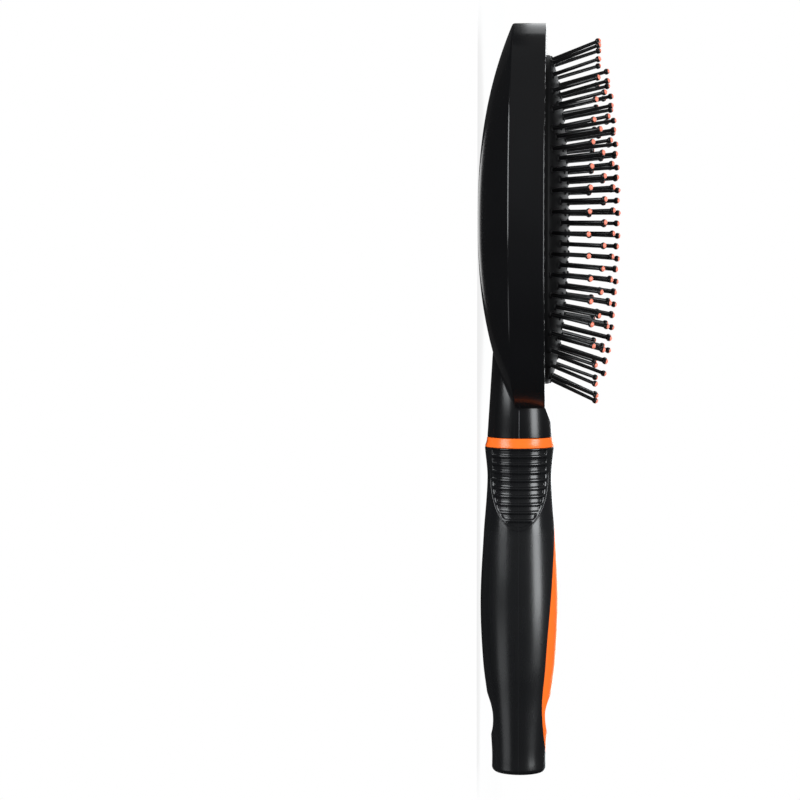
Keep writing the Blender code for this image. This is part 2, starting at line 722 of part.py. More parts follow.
def rib_cutter(handle_axis):
    """Comb of ring-shaped teeth, trimmed to the U-shaped outline of the finger panels."""
    half_floor = RIB_FLOOR_WIDTH / 2
    flank_run = (RIB_GROOVE_WIDTH - RIB_FLOOR_WIDTH) / 2
    half_mouth = half_floor + flank_run * (1 + FIT_GAP / RIB_GROOVE_DEPTH)
    outer = GRIP_BELLY_RADIUS + CUT_OVERRUN
    teeth = []
    for index in range(int((PANEL_LENGTH - FIRST_GROOVE_REACH) / RIB_PITCH) + 1):
        middle = FIRST_GROOVE_REACH + RIB_PITCH * index
        for offset, lift in (
            (-half_mouth, FIT_GAP),
            (-half_floor, -RIB_GROOVE_DEPTH),
            (half_floor, -RIB_GROOVE_DEPTH),
            (half_mouth, FIT_GAP),
        ):
            reach = middle + offset
            teeth.append((grip_radius(reach) + lift, MOUTH_X - reach))
    profile = [(outer, teeth[0][1]), (outer, teeth[-1][1])] + list(reversed(teeth))
    comb_mesh = turned_mesh("rib_comb", profile, HANDLE_STEPS, closed=True)
    comb = add_cutter("rib_comb", comb_mesh, handle_axis)

    foot_x = MOUTH_X - PANEL_STRAIGHT_LENGTH
    foot_length = PANEL_LENGTH - PANEL_STRAIGHT_LENGTH
    axis = HANDLE_AXIS_HEIGHT
    outline = [(MOUTH_X + CUT_OVERRUN, axis + PANEL_HALF_WIDTH)]
    for step in range(OUTLINE_STEPS + 1):
        angle = math.pi / 2 + math.pi * step / OUTLINE_STEPS
        x = foot_x + foot_length * math.cos(angle)
        outline.append((x, axis + PANEL_FOOT_HALF_WIDTH * math.sin(angle)))
    outline.append((MOUTH_X + CUT_OVERRUN, axis - PANEL_HALF_WIDTH))
    panel = add_cutter("panel_outline", side_prism_mesh("panel_outline", outline, outer))
    combine(comb, panel, "INTERSECT")
    return comb


def make_handle_grip(handle_axis, hole, material):
    """Black overmould with ribbed finger panels, leaf window, core bore and hang hole."""
    skin = turned_mesh("handle_grip", grip_profile(), HANDLE_STEPS)
    grip = add_part("handle_grip", skin, material, handle_axis)
    bore_mesh = turned_mesh("core_bore", core_profile(FIT_GAP), CORE_STEPS)
    combine(grip, add_cutter("core_bore", bore_mesh, handle_axis), "DIFFERENCE")
    combine(grip, leaf_prism("leaf_window", FIT_GAP), "DIFFERENCE")
    combine(grip, hole, "DIFFERENCE")
    combine(grip, rib_cutter(handle_axis), "DIFFERENCE")
    return grip


clear_scene()
parts = new_collection("oval_styling_brush")
cutters = new_collection("cutters")

gloss_black = plastic("gloss_black", (0.012, 0.012, 0.014), 0.18)
grip_black = plastic("grip_black", (0.016, 0.016, 0.018), 0.32)
rubber_black = plastic("rubber_black", (0.014, 0.014, 0.014), 0.6)
orange = plastic("orange", (1.0, 0.156, 0.013), 0.3)

handle_frame = bpy.data.objects.new("handle_axis", None)
handle_frame.location = (0.0, 0.0, HANDLE_AXIS_HEIGHT)
handle_frame.rotation_euler = (0.0, math.pi / 2, 0.0)
parts.objects.link(handle_frame)
bpy.context.view_layer.update()

make_head_shell(handle_frame, gloss_black)
make_cushion_bead(rubber_black)
make_cushion(rubber_black)
make_neck_ring(handle_frame, orange)
hang_hole = hole_prism()
make_handle_core(handle_frame, hang_hole, orange)
make_handle_grip(handle_frame, hang_hole, grip_black)
bpy.context.view_layer.update()
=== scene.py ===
"""Studio view of the oval styling brush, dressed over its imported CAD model.

The brush lies on its domed back, with +X towards the far end of the head and +Z along the pins.
The camera stands off along +Y with +X up in the picture, which gives the brush's side view.
"""

import bisect
import logging
import math
from collections.abc import Callable, Sequence
from dataclasses import dataclass
from enum import Enum

import bmesh
import bpy
from mathutils import Matrix, Vector


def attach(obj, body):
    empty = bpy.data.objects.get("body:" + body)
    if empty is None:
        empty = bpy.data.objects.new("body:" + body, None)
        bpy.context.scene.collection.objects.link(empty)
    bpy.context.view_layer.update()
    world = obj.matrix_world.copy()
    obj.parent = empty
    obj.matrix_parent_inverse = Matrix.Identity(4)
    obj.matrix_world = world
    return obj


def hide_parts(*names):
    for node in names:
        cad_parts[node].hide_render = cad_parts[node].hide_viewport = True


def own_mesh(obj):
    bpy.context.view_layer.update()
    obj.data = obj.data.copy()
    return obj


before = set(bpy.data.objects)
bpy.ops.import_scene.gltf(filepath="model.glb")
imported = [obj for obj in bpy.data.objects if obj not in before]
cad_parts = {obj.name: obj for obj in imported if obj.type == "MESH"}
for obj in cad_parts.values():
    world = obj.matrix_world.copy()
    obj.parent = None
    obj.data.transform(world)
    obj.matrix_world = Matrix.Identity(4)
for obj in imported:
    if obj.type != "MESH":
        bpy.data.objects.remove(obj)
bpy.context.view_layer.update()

LOG = logging.getLogger("styling_brush")

MM = 0.001
WELD = 0.0005 * MM
SEAM = 0.05 * MM
FIT_GAP = 0.3 * MM
OVERRUN = 4.0 * MM
AXIS_HEIGHT = 13.5 * MM
BORE_STEPS = 96
ROUND_STEPS = 4

WHITE = (1.0, 1.0, 1.0)
COOL = (0.95, 0.98, 1.0)

Form = bmesh.types.BMesh
Piece = bpy.types.Object
Profile = list[tuple[float, float]]
Span = tuple[float, float]
Triple = tuple[float, float, float]
Value = "Wire | float | Triple"


class Slot(Enum):
    """Material slots of the part's record."""

    HEAD = "head_gloss_black"
    RUBBER = "cushion_rubber"
    PIN = "pin_black"
    TIP = "pin_tip_orange"
    ORANGE = "handle_orange"
    GRIP = "grip_black"


class Cut(Enum):
    """Ways of combining one solid with others."""

    JOIN = "UNION"
    REMOVE = "DIFFERENCE"
    OVERLAP = "INTERSECT"


class Wire:
    """An output of a shader node that takes part in Python sums."""

    def __init__(self, paint: "Paint", socket: bpy.types.NodeSocket) -> None:
        """Wrap an output socket in the paint's tree."""
        self.paint = paint
        self.socket = socket

    def __add__(self, other: Value) -> "Wire":
        """Add a value."""
        return self.paint.maths("ADD", self, other)

    def __sub__(self, other: Value) -> "Wire":
        """Subtract a value."""
        return self.paint.maths("SUBTRACT", self, other)

    def __rsub__(self, other: Value) -> "Wire":
        """Subtract this from a value."""
        return self.paint.maths("SUBTRACT", other, self)

    def __mul__(self, other: Value) -> "Wire":
        """Multiply by a value."""
        return self.paint.maths("MULTIPLY", self, other)

    def __abs__(self) -> "Wire":
        """Drop the sign."""
        return self.paint.maths("ABSOLUTE", self)

    __radd__ = __add__
    __rmul__ = __mul__

    def other(self, name: str) -> "Wire":
        """Give another output of the same node."""
        return Wire(self.paint, self.socket.node.outputs[name])

    def fade(self, start: float, end: float) -> "Wire":
        """Turn this into a smooth share that is 1 at start and 0 at end."""
        values = {"Value": self, "From Min": start, "From Max": end, "To Min": 1.0, "To Max": 0.0}
        return self.paint.node("ShaderNodeMapRange", {"interpolation_type": "SMOOTHSTEP"}, values)


class Paint:
    """A node tree that is being painted: a material's or the world's."""

    def __init__(self, owner: bpy.types.Material | bpy.types.World) -> None:
        """Empty the owner's tree.

        Args:
            owner: The material or world.
        """
        self.owner = owner
        owner.use_nodes = True
        self.tree = owner.node_tree
        self.tree.nodes.clear()

    def node(self, kind: str, settings: dict, values: dict, output: int | str = 0) -> Wire | None:
        """Add a node.

        Args:
            kind: The node's type.
            settings: The node's own settings, which are made first.
            values: Numbers, colours or wires for its inputs, by name or index.
            output: The output that is wanted, by name or index.

        Returns:
            That output, or none from a node that has no outputs.
        """
        made = self.tree.nodes.new(kind)
        for name, setting in settings.items():
            setattr(made, name, setting)
        for name, value in values.items():
            socket = made.inputs[name]
            if isinstance(value, Wire):
                self.tree.links.new(value.socket, socket)
            else:
                socket.default_value = (*value, 1.0) if socket.type == "RGBA" else value
        return Wire(self, made.outputs[output]) if made.outputs else None

    def maths(self, operation: str, *values: Value) -> Wire:
        """Add a Math node with the values as its inputs."""
        return self.node("ShaderNodeMath", {"operation": operation}, dict(enumerate(values)))

    def place(self, stretch: Triple = (1.0, 1.0, 1.0)) -> Wire:
        """Give the object coordinates, scaled along each axis."""
        where = self.node("ShaderNodeTexCoord", {}, {}, "Object")
        return self.node("ShaderNodeMapping", {}, {"Vector": where, "Scale": stretch})

    def axes(self, where: Wire) -> list[Wire]:
        """Split coordinates into X, Y and Z."""
        split = self.node("ShaderNodeSeparateXYZ", {}, {"Vector": where})
        return [split.other(name) for name in "XYZ"]

    def noise(self, cells: float, detail: float, stretch: Triple = (1.0, 1.0, 1.0)) -> Wire:
        """Add a noise between 0 and 1, with so many cells to a metre."""
        values = {"Vector": self.place(stretch), "Scale": cells, "Detail": detail}
        return self.node("ShaderNodeTexNoise", {}, values)

    def blend(self, share: Wire, first: Wire | Triple, second: Triple) -> Wire:
        """Mix two colours; the share says how much of the second shows."""
        return self.node("ShaderNodeMix", {"data_type": "RGBA"}, {0: share, 6: first, 7: second}, 2)

    def relief(self, height: Wire, depth: float, under: Wire | None = None) -> Wire:
        """Turn a height into a normal.

        Args:
            height: The height as a share of the depth.
            depth: The full height in metres.
            under: The normal that this relief lies on.

        Returns:
            The normal.
        """
        values = {"Height": height, "Distance": depth, "Strength": 1.0}
        if under is not None:
            values["Normal"] = under
        return self.node("ShaderNodeBump", {}, values)

    def glowing(self, share: Wire, first: Wire, strength: float) -> Wire:
        """Mix a shader with a white glow; the share says how much of the glow shows."""
        glow = self.node("ShaderNodeEmission", {}, {"Color": WHITE, "Strength": strength})
        return self.node("ShaderNodeMixShader", {}, {0: share, 1: first, 2: glow})

    def show(self, surface: Wire) -> bpy.types.Material | bpy.types.World:
        """Send a shader to the output.

        Args:
            surface: The shader.

        Returns:
            The finished material or world.
        """
        world = isinstance(self.owner, bpy.types.World)
        kind = "ShaderNodeOutputWorld" if world else "ShaderNodeOutputMaterial"
        self.node(kind, {}, {"Surface": surface})
        return self.owner


@dataclass(frozen=True)
class MouldedPlastic:
    """A moulded plastic with the fine waviness, parting line and wipe marks of such a surface; the
    parting line is coloured lighter as a painted highlight.
    """

    name: str
    colour: Triple
    worn_colour: Triple
    roughness: float
    roughness_spread: float
    level: float
    grain_size: float
    grain_depth: float
    cloud_cells: float = 55.0
    cloud_relief: float = 12.0
    wipe_cells: float = 420.0
    wipe_stretch: Triple = (0.12, 1.0, 1.0)
    seam_from: float | None = None
    seam_until: float = 0.0
    # Lighter colour along the parting line: a painted highlight where the seam catches the light.
    seam_highlight_colour: Triple = (0.075, 0.076, 0.082)
    seam_half_width: float = 0.11 * MM
    seam_core_share: float = 0.4
    seam_roughness: float = 0.12
    seam_rise: float = 0.2
    satin_reach: Span = (0.0, 1.0)
    satin_rise: float = 0.0

    def material(self) -> bpy.types.Material:
        """Paint the material.

        Returns:
            The material.
        """
        paint = Paint(bpy.data.materials.new(self.name))
        cloudy = paint.noise(self.cloud_cells, 3.0)
        wiped = paint.noise(self.wipe_cells, 2.0, self.wipe_stretch)
        grain = paint.noise(1.0 / self.grain_size, 2.0)
        x, _, z = paint.axes(paint.place())
        colour = paint.blend(cloudy, self.colour, self.worn_colour)
        rough = self.roughness + self.roughness_spread * (cloudy + wiped - 1.0)
        if self.satin_rise:
            rough = rough + self.satin_rise * x.fade(*self.satin_reach)
        bump = paint.relief(grain, self.grain_depth)
        bump = paint.relief(cloudy, self.cloud_relief * self.grain_depth, bump)
        if self.seam_from is not None:
            core = self.seam_core_share * self.seam_half_width
            line = abs(z - AXIS_HEIGHT).fade(core, self.seam_half_width)
            line = line * x.fade(self.seam_until - MM, self.seam_until)
            line = line * (1.0 - x.fade(self.seam_from, self.seam_from + MM))
            # Painted highlight: the parting line is coloured lighter; its added roughness and
            # relief are the seam's own.
            colour = paint.blend(line, colour, self.seam_highlight_colour)
            rough = rough + self.seam_roughness * line
            bump = paint.relief(line, self.seam_rise * self.seam_half_width, bump)
        values = {"Base Color": colour, "Roughness": rough, "Normal": bump}
        values["Specular IOR Level"] = self.level
        return paint.show(paint.node("ShaderNodeBsdfPrincipled", {}, values))


@dataclass(frozen=True)
class RubberSheet:
    """A matte black rubber with a fine moulded grain and a little dust."""

    name: str = "rubber_sheet"
    colour: Triple = (0.0030, 0.0030, 0.0033)
    dusty_colour: Triple = (0.0062, 0.0062, 0.0066)
    roughness: float = 0.52
    grain_roughness: float = 0.16
    grain_size: float = 0.5 * MM
    grain_depth: float = 0.02 * MM
    dust_cells: float = 160.0
    dust_reach: Span = (0.72, 0.5)
    level: float = 0.1

    def material(self) -> bpy.types.Material:
        """Paint the material.

        Returns:
            The material.
        """
        paint = Paint(bpy.data.materials.new(self.name))
        grain = paint.noise(1.0 / self.grain_size, 4.0)
        dust = paint.noise(self.dust_cells, 5.0).fade(*self.dust_reach)
        values = {
            "Base Color": paint.blend(dust, self.colour, self.dusty_colour),
            "Roughness": self.roughness + self.grain_roughness * (grain - 0.5),
            "Normal": paint.relief(grain, self.grain_depth),
            "Specular IOR Level": self.level,
        }
        return paint.show(paint.node("ShaderNodeBsdfPrincipled", {}, values))


GLOSS_BLACK = MouldedPlastic(
    name="head_gloss_black",
    colour=(0.0040, 0.0040, 0.0044),
    worn_colour=(0.0056, 0.0058, 0.0065),
    roughness=0.16,
    roughness_spread=0.05,
    level=0.45,
    grain_size=1.6 * MM,
    grain_depth=0.0012 * MM,
    seam_from=-14.0 * MM,
    seam_until=-2.4 * MM,
    satin_reach=(2.0 * MM, 14.0 * MM),
    satin_rise=0.08,
)

SATIN_BLACK = MouldedPlastic(
    name="grip_satin_black",
    colour=(0.0054, 0.0056, 0.0062),
    worn_colour=(0.0078, 0.0082, 0.0091),
    roughness=0.19,
    roughness_spread=0.06,
    satin_reach=(-43.0 * MM, -39.0 * MM),
    satin_rise=0.08,
    level=0.5,
    grain_size=0.9 * MM,
    grain_depth=0.0018 * MM,
    seam_from=-120.0 * MM,
    seam_until=-14.5 * MM,
    # Faint painted highlight along the grip's parting line.
    seam_highlight_colour=(0.0080, 0.0084, 0.0094),
    seam_half_width=0.07 * MM,
    seam_rise=0.06,
)

BRIGHT_ORANGE = MouldedPlastic(
    name="glossy_orange",
    colour=(1.0, 0.152, 0.012),
    worn_colour=(0.95, 0.168, 0.018),
    roughness=0.26,
    roughness_spread=0.05,
    level=0.45,
    grain_size=1.4 * MM,
    grain_depth=0.0015 * MM,
)

PIN_NYLON = MouldedPlastic(
    name="pin_nylon_black",
    colour=(0.0050, 0.0050, 0.0055),
    worn_colour=(0.0085, 0.0085, 0.0090),
    roughness=0.30,
    roughness_spread=0.08,
    level=0.4,
    grain_size=0.7 * MM,
    grain_depth=0.002 * MM,
)

DIPPED_COAT = MouldedPlastic(
    name="dipped_salmon_coat",
    colour=(0.84, 0.205, 0.125),
    worn_colour=(0.80, 0.25, 0.17),
    roughness=0.34,
    roughness_spread=0.10,
    level=0.5,
    grain_size=0.5 * MM,
    grain_depth=0.003 * MM,
)


def lofted(
    rows: int, steps: int, place: Callable[[int, float], Vector], closed: bool = False
) -> Form:
    """Extrude a circle row by row and put every point of it in its place.

    Args:
        rows: How many rings the form has.
        steps: How many points a ring has.
        place: Gives the place of a point from its row and its angle.
        closed: Whether the last ring joins the first; the ends are capped otherwise.

    Returns:
        The form.
    """
    form = bmesh.new()
    bmesh.ops.create_circle(form, segments=steps, radius=1.0)
    rings = [list(form.verts)]
    rim = list(form.edges)
    first_rim = rim
    for _ in range(rows - 1):
        made = bmesh.ops.extrude_edge_only(form, edges=rim)["geom"]
        rings.append([part for part in made if isinstance(part, bmesh.types.BMVert)])
        rim = [part for part in made if isinstance(part, bmesh.types.BMEdge) and part.is_boundary]
    for row, ring in enumerate(rings):
        for point in ring:
            point.co = place(row, math.atan2(point.co.y, point.co.x))
    if closed:
        bmesh.ops.bridge_loops(form, edges=first_rim + rim)
    else:
        bmesh.ops.holes_fill(form, edges=form.edges, sides=0)
    return form


def turned(profile: Profile, steps: int, closed: bool = False, upright: bool = False) -> Form:
    """Spin a profile round the handle's axis, or round the Z axis.

    Args:
        profile: Points as places along X and radii, or where upright as radii and heights.
        steps: Steps round the axis.
        closed: Whether the last point joins the first.
        upright: Whether it turns round the Z axis.

    Returns:
        The form.
    """
    form = bmesh.new()
    lift = 0.0 if upright else AXIS_HEIGHT
    points = [form.verts.new((x, 0.0, lift + z)) for x, z in profile]
    for start, end in zip(points, points[1:]):
        form.edges.new((start, end))
    if closed:
        form.edges.new((points[-1], points[0]))
    bmesh.ops.spin(
        form,
        geom=list(form.verts) + list(form.edges),
        cent=(0.0, 0.0, lift),
        axis=(0.0, 0.0, 1.0) if upright else (1.0, 0.0, 0.0),
        angle=2 * math.pi,
        steps=steps,
        use_merge=True,
    )
    return form


def prism(outline: Profile, low: float, high: float) -> Form:
    """Extrude an outline in the XY plane upwards.

    Args:
        outline: Its points.
        low: Height of the lower face.
        high: Height of the upper face.

    Returns:
        The form.
    """
    form = bmesh.new()
    points = [form.verts.new((x, y, low)) for x, y in outline]
    base = form.faces.new(points)
    made = bmesh.ops.extrude_face_region(form, geom=[base])["geom"]
    raised = [part for part in made if isinstance(part, bmesh.types.BMVert)]
    bmesh.ops.translate(form, verts=raised, vec=(0.0, 0.0, high - low))
    return form


def arc(
    centre: Span, radius: float, start: float, end: float, steps: int = ROUND_STEPS
) -> Profile:
    """Give points on an arc.

    Args:
        centre: Middle of the arc.
        radius: Its radius.
        start: First angle in degrees, from the first axis to the second.
        end: Last angle in degrees.
        steps: Steps between them.

    Returns:
        The points.
    """
    points = []
    for step in range(steps + 1):
        angle = math.radians(start + (end - start) * step / steps)
        points.append((centre[0] + radius * math.cos(angle), centre[1] + radius * math.sin(angle)))
    return points


def cut_flat(form: Form, place: Vector, outward: Vector, rounding: float) -> None:
    """Cut a form with a plane, close the cut and round its border.

    Args:
        form: The form.
        place: A point of the plane.
        outward: The side that goes.
        rounding: How wide the rounded border is.
    """
    cut = bmesh.ops.bisect_plane(
        form,
        geom=list(form.verts) + list(form.edges) + list(form.faces),
        dist=WELD,
        plane_co=place,
        plane_no=outward,
        clear_outer=True,
    )["geom_cut"]
    border = [part for part in cut if isinstance(part, bmesh.types.BMEdge)]
    bmesh.ops.contextual_create(form, geom=border)
    bmesh.ops.bevel(
        form,
        geom=border,
        offset=rounding,
        segments=ROUND_STEPS,
        profile=0.5,
        affect="EDGES",
        material=-1,
    )


def on_oval(centre_x: float, semi_x: float, semi_y: float, angle: float, height: float) -> Vector:
    """Give the point of a level oval at an angle."""
    return Vector((centre_x + semi_x * math.cos(angle), semi_y * math.sin(angle), height))


def meshed(name: str, form: Form) -> bpy.types.Mesh:
    """Make a mesh of a form, welded and with its faces outwards.

    Args:
        name: The mesh's name.
        form: The form, which is used up.

    Returns:
        The mesh.
    """
    bmesh.ops.remove_doubles(form, verts=form.verts, dist=WELD)
    bmesh.ops.recalc_face_normals(form, faces=form.faces)
    mesh = bpy.data.meshes.new(name)
    form.to_mesh(mesh)
    form.free()
    return mesh


def linked(name: str, data: bpy.types.ID) -> Piece:
    """Put an object that shows a mesh, a lamp or a camera into the scene.

    Args:
        name: The object's name.
        data: What it shows.

    Returns:
        The object.
    """
    made = bpy.data.objects.new(name, data)
    bpy.context.scene.collection.objects.link(made)
    return made


def solid(name: str, form: Form) -> Piece:
    """Make an object of a form, which is used up."""
    return linked(name, meshed(name, form))


def rod(name: str, start_x: float, end_x: float, radius: float) -> Piece:
    """Turn a plain rod on the handle's axis."""
    profile = [(start_x, 0.0), (start_x, radius), (end_x, radius), (end_x, 0.0)]
    return solid(name, turned(profile, BORE_STEPS))


def aim(thing: Piece, place: Triple, side: Vector, back: Vector) -> None:
    """Stand a lamp or the camera in its place, with its X axis along side and its Z along back."""
    turn = Matrix((side, back.cross(side), back)).transposed()
    thing.matrix_world = Matrix.Translation(place) @ turn.to_4x4()


def combine(target: Piece, tools: Sequence[Piece], cut: Cut) -> None:
    """Join solids to one or cut them from it, and remove them.

    Args:
        target: The solid that changes.
        tools: The other solids.
        cut: How they are combined.
    """
    for tool in tools:
        modifier = target.modifiers.new(tool.name, "BOOLEAN")
        modifier.operation = cut.value
        modifier.solver = "EXACT"
        modifier.object = tool
    bpy.context.view_layer.update()
    graph = bpy.context.evaluated_depsgraph_get()
    mesh = bpy.data.meshes.new_from_object(target.evaluated_get(graph))
    target.modifiers.clear()
    target.data = mesh
    for tool in tools:
        bpy.data.objects.remove(tool)


@dataclass(frozen=True)
class Dresser:
    """Finishes a piece: its shading, its material and its place in the frame."""

    slot: Slot
    material: bpy.types.Material
    crease: float = 30.0
    flat_corners: int = 9

    def dress(self, piece: Piece, body: str, *nodes: str) -> None:
        """Shade a piece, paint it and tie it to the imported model.

        Args:
            piece: The piece.
            body: The body that it rides on.
            nodes: The CAD nodes that it replaces.
        """
        mesh = piece.data
        mesh.shade_smooth()
        mesh.set_sharp_from_angle(angle=math.radians(self.crease))
        for face in mesh.polygons:
            if len(face.vertices) >= self.flat_corners:
                face.use_smooth = False
        mesh.materials.clear()
        mesh.materials.append(self.material)
        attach(piece, body)
        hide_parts(*nodes)
        LOG.info("%s: %d faces on %s", piece.name, len(mesh.polygons), body)


@dataclass
class HeadShell:
    """The gloss black moulding: domed back, band, rim, neck and tang."""

    end_x: float = 119.5 * MM
    length: float = 124.3 * MM
    width: float = 69.7 * MM
    depth: float = 21.7 * MM
    dome_depth: float = 10.5 * MM
    wall: float = 3.0 * MM
    fullness: float = 2.4
    tip_loss: float = 0.02
    neck_loss: float = 0.07
    back_round: float = 1.1 * MM
    rim_round: float = 0.5 * MM
    lip_long: float = 52.2 * MM
    lip_wide: float = 27.1 * MM
    lip_centre_x: float = 57.35 * MM
    lip_thickness: float = 1.5 * MM
    lip_round: float = 0.3 * MM
    groove_height: float = 2.8 * MM
    groove_depth: float = 2.3 * MM
    ledge: float = 2.2 * MM
    neck_end_x: float = -11.4 * MM
    neck_end_radius: float = 10.35 * MM
    neck_root_x: float = 21.7 * MM
    neck_root_radius: float = 8.3 * MM
    neck_edge_round: float = 0.25 * MM
    neck_edge_steps: int = 3
    neck_steps: int = 144
    ramp_foot_x: float = -2.3 * MM
    ramp_length: float = 5.1 * MM
    ramp_round: float = 0.3 * MM
    tang_tip_x: float = -55.4 * MM
    tang_root_radius: float = 6.0 * MM
    tang_tip_radius: float = 5.4 * MM
    tang_chamfer: float = 1.2 * MM
    steps: int = 256
    round_steps: int = 8
    dome_rows: int = 30
    flat_from_end: float = 2.7 * MM
    flat_round: float = 0.3 * MM

    @property
    def centre_x(self) -> float:
        """Middle of the oval."""
        return self.end_x - self.length / 2

    def crease(self, angle: float) -> float:
        """Give the height at which the dome meets the band, which rises towards both ends."""
        loss = self.tip_loss if math.cos(angle) > 0 else self.neck_loss
        return self.dome_depth / (1.0 - loss * math.cos(angle) ** 4) ** self.fullness

    def dome_height(self, share: float, angle: float) -> float:
        """Give the dome's height at a share of the way from its middle to the band."""
        return self.crease(angle) * share ** self.fullness

    def outside(self, row: int, angle: float) -> Vector:
        """Give a point of the head's outside.

        Args:
            row: Row from the rim face, over the band, to the middle of the dome.
            angle: Angle round the oval.

        Returns:
            The point.
        """
        semi_x, semi_y = self.length / 2, self.width / 2
        tilt = math.hypot(math.cos(angle) / semi_x, math.sin(angle) / semi_y)
        normal = Vector((math.cos(angle) / semi_x, math.sin(angle) / semi_y, 0.0)) / tilt
        edge = on_oval(self.centre_x, semi_x, semi_y, angle, 0.0)
        if row <= self.round_steps:
            turn = math.radians(90.0 * row / self.round_steps)
            inset = self.rim_round * (1 - math.sin(turn))
            height = self.depth - self.rim_round * (1 - math.cos(turn))
            return edge - normal * inset + Vector((0.0, 0.0, height))
        lean = math.atan(self.crease(angle) * self.fullness * tilt)
        last_round = 2 * self.round_steps + 1
        step = min(row, last_round) - self.round_steps - 1
        turn = (math.pi / 2 - lean) * step / self.round_steps
        inset = self.back_round * (1 - math.cos(turn))
        middle = self.crease(angle) + self.back_round * (1 - math.sin(lean)) / math.cos(lean)
        if row <= last_round:
            height = middle - self.back_round * math.sin(turn)
            return edge - normal * inset + Vector((0.0, 0.0, height))
        share = (1 - inset * tilt) * (1 - (row - last_round) / self.dome_rows)
        height = self.dome_height(share, angle)
        return on_oval(self.centre_x, semi_x * share, semi_y * share, angle, height)

    def recess_rows(self) -> Profile:
        """List the recess's rows.

        Returns:
            Each row's growth over the lip's oval and its height.
        """
        top, rounding = self.depth, self.lip_round
        under = top - self.lip_thickness
        floor = under - self.groove_height
        return [
            (rounding, top + OVERRUN),
            *arc((rounding, top - rounding), rounding, 90.0, 180.0),
            (0.0, under),
            (self.groove_depth, under),
            (self.groove_depth, floor),
            (-self.ledge, floor),
        ]

    def recess(self, row: int, angle: float) -> Vector:
        """Give a point of the hollow under the rim.

        Args:
            row: Row from above the rim to the middle of the air chamber.
            angle: Angle round the oval.

        Returns:
            The point.
        """
        rows = self.recess_rows()
        if row < len(rows):
            grow, height = rows[row]
            share = 1.0
        else:
            grow = -self.ledge
            share = 1 - (row - len(rows)) / self.dome_rows
            height = self.dome_height((self.lip_long + grow) * share * 2 / self.length, angle)
            height += self.wall
        semi_x, semi_y = (self.lip_long + grow) * share, (self.lip_wide + grow) * share
        return on_oval(self.lip_centre_x, semi_x, semi_y, angle, height)

    def neck(self) -> Form:
        """Turn the neck and tang and cut the ramp off the neck's front.

        Returns:
            The form.
        """
        end_x = self.neck_end_x - FIT_GAP + SEAM
        corner = (end_x + self.neck_edge_round, self.neck_end_radius - self.neck_edge_round)
        profile = [(self.neck_root_x, 0.0), (self.neck_root_x, self.neck_root_radius)]
        profile += arc(corner, self.neck_edge_round, 90.0, 180.0, self.neck_edge_steps)
        profile += [
            (end_x, self.tang_root_radius),
            (self.tang_tip_x + self.tang_chamfer, self.tang_tip_radius),
            (self.tang_tip_x, self.tang_tip_radius - self.tang_chamfer),
            (self.tang_tip_x, 0.0),
        ]
        form = turned(profile, self.neck_steps)
        bmesh.ops.remove_doubles(form, verts=form.verts, dist=WELD)
        crest_x = self.ramp_foot_x - self.ramp_length
        share = (crest_x - self.neck_end_x) / (self.neck_root_x - self.neck_end_x)
        radius = self.neck_end_radius + (self.neck_root_radius - self.neck_end_radius) * share
        rise = AXIS_HEIGHT + radius - self.depth
        foot = Vector((self.ramp_foot_x, 0.0, self.depth))
        cut_flat(form, foot, Vector((rise, 0.0, self.ramp_length)), self.ramp_round)
        return form

    def build(self) -> Piece:
        """Join the oval and the neck and hollow them.

        Returns:
            The head moulding.
        """
        rows = 2 * self.round_steps + 2 + self.dome_rows
        form = lofted(rows, self.steps, self.outside)
        bmesh.ops.remove_doubles(form, verts=form.verts, dist=WELD)
        flat_x = self.end_x - self.length + self.flat_from_end
        cut_flat(form, Vector((flat_x, 0.0, 0.0)), Vector((-1.0, 0.0, 0.0)), self.flat_round)
        shell = solid("head_moulding", form)
        combine(shell, [solid("neck", self.neck())], Cut.JOIN)
        rows = len(self.recess_rows()) + self.dome_rows + 1
        combine(shell, [solid("recess", lofted(rows, self.steps, self.recess))], Cut.REMOVE)
        return shell

    def dress(self) -> None:
        """Build the head moulding and tie it to the model."""
        black = Dresser(Slot.HEAD, GLOSS_BLACK.material(), crease=32.0, flat_corners=12)
        black.dress(self.build(), "brush_body", "head_shell")


